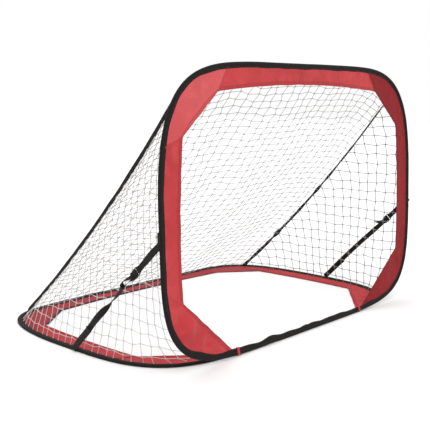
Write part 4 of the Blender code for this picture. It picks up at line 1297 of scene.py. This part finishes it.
def make_anchor(strap):
    """Second layer sewn over the strap's base end, its upper end lifting at one corner."""
    against = -STRAP_OFFSET + 0.0008 + WEB_THICK + 0.0001
    s = np.linspace(strap.length - ANCHOR_LENGTH, strap.length, 80)
    sewn = smooth_step(s, strap.length - 0.030, strap.length - STRAP_SEWN)
    lifted = 0.0030 * (1 - smooth_step(s, s[0], s[0] + 0.016))
    n = WEB_THICK / 2 + 0.0001 + (against - WEB_THICK / 2 - 0.0001) * sewn + lifted
    centres = strap.place(s, n, -0.0006 * strap.side * (1 - sewn))
    turn = 0.22 * (1 - smooth_step(s, s[0], s[0] + 0.02))
    across = turned(strap.across, strap.outward, turn)
    width = np.minimum(STRAP_WIDTHS[strap.word] * 1.05, WEB_WIDTH + 0.05 * (strap.length - s))
    piece = ribbon_piece(f"{strap.word}_anchor_web", centres, across, width, WEB_THICK)
    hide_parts(f"{strap.word}_strap_anchor")
    strap.carry(piece)
    low = strap.length - 0.040
    lines = box_stitch(strap, low - 0.024, low, WEB_THICK + 0.0001)
    lines += box_stitch(strap, strap.length - 0.014, strap.length - 0.002, against + WEB_THICK / 2)
    strap.carry(stitch_piece(f"{strap.word}_anchor_stitching", lines, "black_webbing", **BOX_STITCH))


def rounded_bar(first, last, halves, axes, bow=(0.0, 0.0), swell=0.0, stations=15, sides=16):
    """Moulded bar with a soft rectangular section and rounded ends."""
    half_a, half_b = halves
    axis_a, axis_b = axes
    t = np.linspace(0, 1, stations)
    ends = np.sin(np.pi * t) ** 0.30
    ends[0] = ends[-1] = 0.30
    arc = 4 * t * (1 - t)
    bend = np.outer(arc * bow[0], axis_a) + np.outer(arc * bow[1], axis_b)
    centre = first + (last - first) * t[:, None] + bend
    angle = np.arange(sides) * 2 * np.pi / sides
    ca = np.sign(np.cos(angle)) * np.abs(np.cos(angle)) ** 0.6
    cb = np.sign(np.sin(angle)) * np.abs(np.sin(angle)) ** 0.6
    size = (ends * (1 + swell * arc))[:, None, None]
    ring = np.outer(ca * half_a, axis_a) + np.outer(cb * half_b, axis_b)
    rings = centre[:, None] + ring[None] * size
    along = path_lengths(centre)
    round_it = np.arange(sides + 1) * (half_a + half_b) * 2 / sides
    points, faces, uv = lofted(rings, along, round_it, closed=False)
    return points, faced_out(points, faces), uv


def make_buckle(strap):
    """Ladder-lock: two rails, three bars, gripping ridges and a thumb lip."""
    marks = buckle_marks()
    half = BUCKLE_THICK / 2
    inner = BUCKLE_WEB / 2 + 0.0006
    rail_at = inner + BUCKLE_RAIL / 2
    along, out, across = strap.along, strap.outward, strap.across
    parts = []
    for sign in (-1, 1):
        first = strap.place(marks[0][0] - 0.0006, 0.0, sign * rail_at)
        last = strap.place(marks[2][1] + 0.0010, 0.0, sign * rail_at)
        thick = (BUCKLE_RAIL / 2, half * 1.15)
        parts.append(rounded_bar(first, last, thick, (across * sign, out), bow=(0.0005, 0.0004)))
        lip = last + along * 0.0052 + out * 0.0030
        thick = (BUCKLE_RAIL / 2 * 0.9, half * 0.8)
        parts.append(rounded_bar(last - along * 0.006, lip, thick, (across, out)))
    for k, (start, end) in enumerate(marks):
        middle = (start + end) / 2
        first = strap.place(middle, 0.0, -rail_at)
        last = strap.place(middle, 0.0, rail_at)
        thick = ((end - start) / 2, half * (0.92 if k < 2 else 1.0))
        parts.append(rounded_bar(first, last, thick, (along, out), swell=0.04))
    for ridge in range(3):
        s = marks[2][1] + 0.0012 + ridge * 0.0018
        first = strap.place(s, 0.0010 + ridge * 0.0010, -rail_at + 0.001)
        last = strap.place(s, 0.0010 + ridge * 0.0010, rail_at - 0.001)
        parts.append(rounded_bar(first, last, (0.0012, 0.0009), (along, out)))
    for tooth in range(9):
        c = (tooth - 4) * 0.0019
        middle = (marks[1][0] + marks[1][1]) / 2
        first = strap.place(middle - 0.0016, half * 0.98, c)
        last = strap.place(middle + 0.0016, half * 0.98, c)
        parts.append(rounded_bar(first, last, (0.0004, 0.00035), (across, out), stations=7, sides=8))
    name = f"{strap.word}_buckle_moulding"
    piece = mesh_piece(name, *joined(parts), MATERIALS["plastic"], "buckle_plastic")
    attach(piece, f"{strap.word}_buckle")
    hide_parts(f"{strap.word}_buckle")


# ---------------------------------------------------------------- tapes over the two bottom bars

def fold_at_hinge(piece):
    fold(piece, smooth_step(-points_of(piece)[:, 1], -HINGE_Y - 0.0035, -HINGE_Y + 0.0010))


def make_hinge_tape(word):
    x = (1 if word == "right" else -1) * TAPE_X[word]
    clear = 0.0003 + TAPE_THICK / 2
    outer_x = math.copysign(abs(x) + TAPE_WIDTH / 2, x)
    front_b = float(FRONT.look_up(FRONT.ab, FRONT.near_arc_where(outer_x))[1])
    base_y = HINGE_Y + 0.0003 + float(BASE.look_up(BASE.ab, BASE.near_arc_where(outer_x))[1])
    low = FRONT_LIFT + front_b
    top = low + float(sleeve_width(FRONT, FRONT.near_arc_where(outer_x), FRONT_LOOSE)) + 0.0002
    middle_y = FRONT_FACE_Y + SLEEVE_HALF + top * math.tan(LEAN)
    path = np.array([
        (x, FRONT_FACE_Y + 0.0030, low - 0.0002 if low > 0.002 else 0.0010),
        (x, FRONT_FACE_Y - clear * 0.2, low + 0.0016),
        (x, FRONT_FACE_Y - clear, low + 0.0042),
        (x, FRONT_FACE_Y - clear + 0.0006, low + 0.0080),
        (x, middle_y - 0.0026, top - 0.0020),
        (x, middle_y - 0.0012, top + 0.0004),
        (x, middle_y + 0.0012, top + 0.0006),
        (x, middle_y + 0.0028, top - 0.0022),
        (x, HINGE_Y - 0.0002, HINGE_Z + 0.0022),
        (x, base_y + 0.0038, HINGE_Z + clear),
        (x, base_y + 0.0078, HINGE_Z + clear - 0.0008),
        (x, base_y + 0.0128, SLEEVE_HALF + 0.0024),
    ])
    centres = resampled(path, 0.0012)
    across = np.repeat(np.array([[1.0, 0.0, 0.0]]), len(centres), axis=0)
    name = f"hinge_tape_{word}_web"
    piece = ribbon_piece(name, centres, across, TAPE_WIDTH, TAPE_THICK, "tape")
    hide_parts(f"hinge_tape_{word}")
    fold_at_hinge(piece)
    normal = unit(np.cross(np.gradient(centres, axis=0), across))
    if normal[len(normal) // 2][2] < 0:
        normal = -normal
    lines = []
    for offset in (-0.0032, 0.0032):
        path = centres + across * offset + normal * (TAPE_THICK / 2 - 0.00005)
        lines.append((path, normal))
    stitches = stitch_piece(f"hinge_tape_{word}_stitching", lines, "red_tape", pitch=0.0028, length=0.0022)
    fold_at_hinge(stitches)


# ---------------------------------------------------------------- stage

def stage_material():
    m = Material("pale_floor", 0.75, specular=0.2)
    m.set("Base Color", m.mix(m.remap(m.noise(m.object, 3.0, 3.0), 0.3, 0.7, 0.0, 1.0), (0.80, 0.80, 0.80),
                              (0.79, 0.79, 0.79)))
    m.set("Normal", m.bump(m.noise(m.object, 240.0, 2.0), 0.0002, 0.2))
    return m.material


def make_stage():
    mesh = bpy.data.meshes.new("floor")
    reach = 14.0
    mesh.from_pydata([(-reach, -reach, 0), (reach, -reach, 0), (reach, reach, 0), (-reach, reach, 0)], [],
                     [(0, 1, 2, 3)])
    mesh.materials.append(stage_material())
    floor = bpy.data.objects.new("floor", mesh)
    bpy.context.scene.collection.objects.link(floor)
    world = bpy.data.worlds.new("studio")
    bpy.context.scene.world = world
    world.use_nodes = True
    world.node_tree.nodes["Background"].inputs[0].default_value = (1.0, 1.0, 1.0, 1.0)
    world.node_tree.nodes["Background"].inputs[1].default_value = WORLD_LIGHT
    for name, direction, angle, strength in SUNS:
        light = bpy.data.lights.new(name, "SUN")
        light.angle = math.radians(angle)
        light.energy = strength
        lamp = bpy.data.objects.new(name, light)
        lamp.rotation_mode = "QUATERNION"
        lamp.rotation_quaternion = Vector(direction).to_track_quat("Z", "Y")
        bpy.context.scene.collection.objects.link(lamp)


WORLD_LIGHT = 1.0
SUNS = (
    ("key", (-0.55, -0.62, 1.0), 60.0, 0.95),
    ("back", (0.10, 0.45, 1.40), 64.0, 0.85),
)


def make_camera():
    data = bpy.data.cameras.new("camera")
    camera = bpy.data.objects.new("camera", data)
    bpy.context.scene.collection.objects.link(camera)
    right = unit(np.array(CAMERA_RIGHT))
    back = unit(np.cross(right, np.array(CAMERA_UP)))
    up = np.cross(back, right)
    axes = np.stack([right, up, back], axis=1)
    camera.matrix_world = Matrix.Translation(CAMERA_AT) @ Matrix(axes.tolist()).to_4x4()
    data.sensor_width = 36.0
    data.lens = LENS
    data.clip_end = 60.0
    bpy.context.scene.camera = camera


def main():
    make_camera()
    make_sleeve(FRONT, FRONT_LOOSE, None)
    make_sleeve(BASE, 0.04, -SLEEVE_HALF)
    # The top left corner takes the lighter copy of the cloth (painted light); the right side's panels take
    # the much darker copy (painted shade)
    front_tones = {"corner_top_left": "pale", "corner_top_right": "shade", "band_right": "shade",
                   "corner_bottom_right": "shade"}
    near_pieces = ("corner_front_left", "corner_front_right", "band_left", "band_right")
    far_pieces = ("corner_rear_left", "corner_rear_right", "band_rear")
    # The base hoop's panels take the darker, greyer copies, darker still at the rear: painted shade
    base_tones = {**dict.fromkeys(near_pieces, "base"), **dict.fromkeys(far_pieces, "base_rear")}
    make_panels(FRONT, "top", "bottom", front_tones)
    make_panels(BASE, "rear", "front", base_tones)
    make_dark_edge_strip()
    make_back_net()
    for word in ("left", "right"):
        make_side_net(word)
        make_rib(word)
        strap = STRAPS[word]
        make_buckle_webbing(strap)
        if word == "left":
            make_hoop_tab(strap)
        make_strap(strap)
        make_anchor(strap)
        make_buckle(strap)
        make_hinge_tape(word)
    for hoop in ("front", "base"):
        for metal in ("spring_band", "ferrule"):
            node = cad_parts[f"{hoop}_{metal}"]
            node.data.materials.clear()
            node.data.materials.append(MATERIALS["steel"])
    make_stage()
    bpy.context.scene.view_settings.view_transform = "Standard"


main()
bpy.context.view_layer.update()
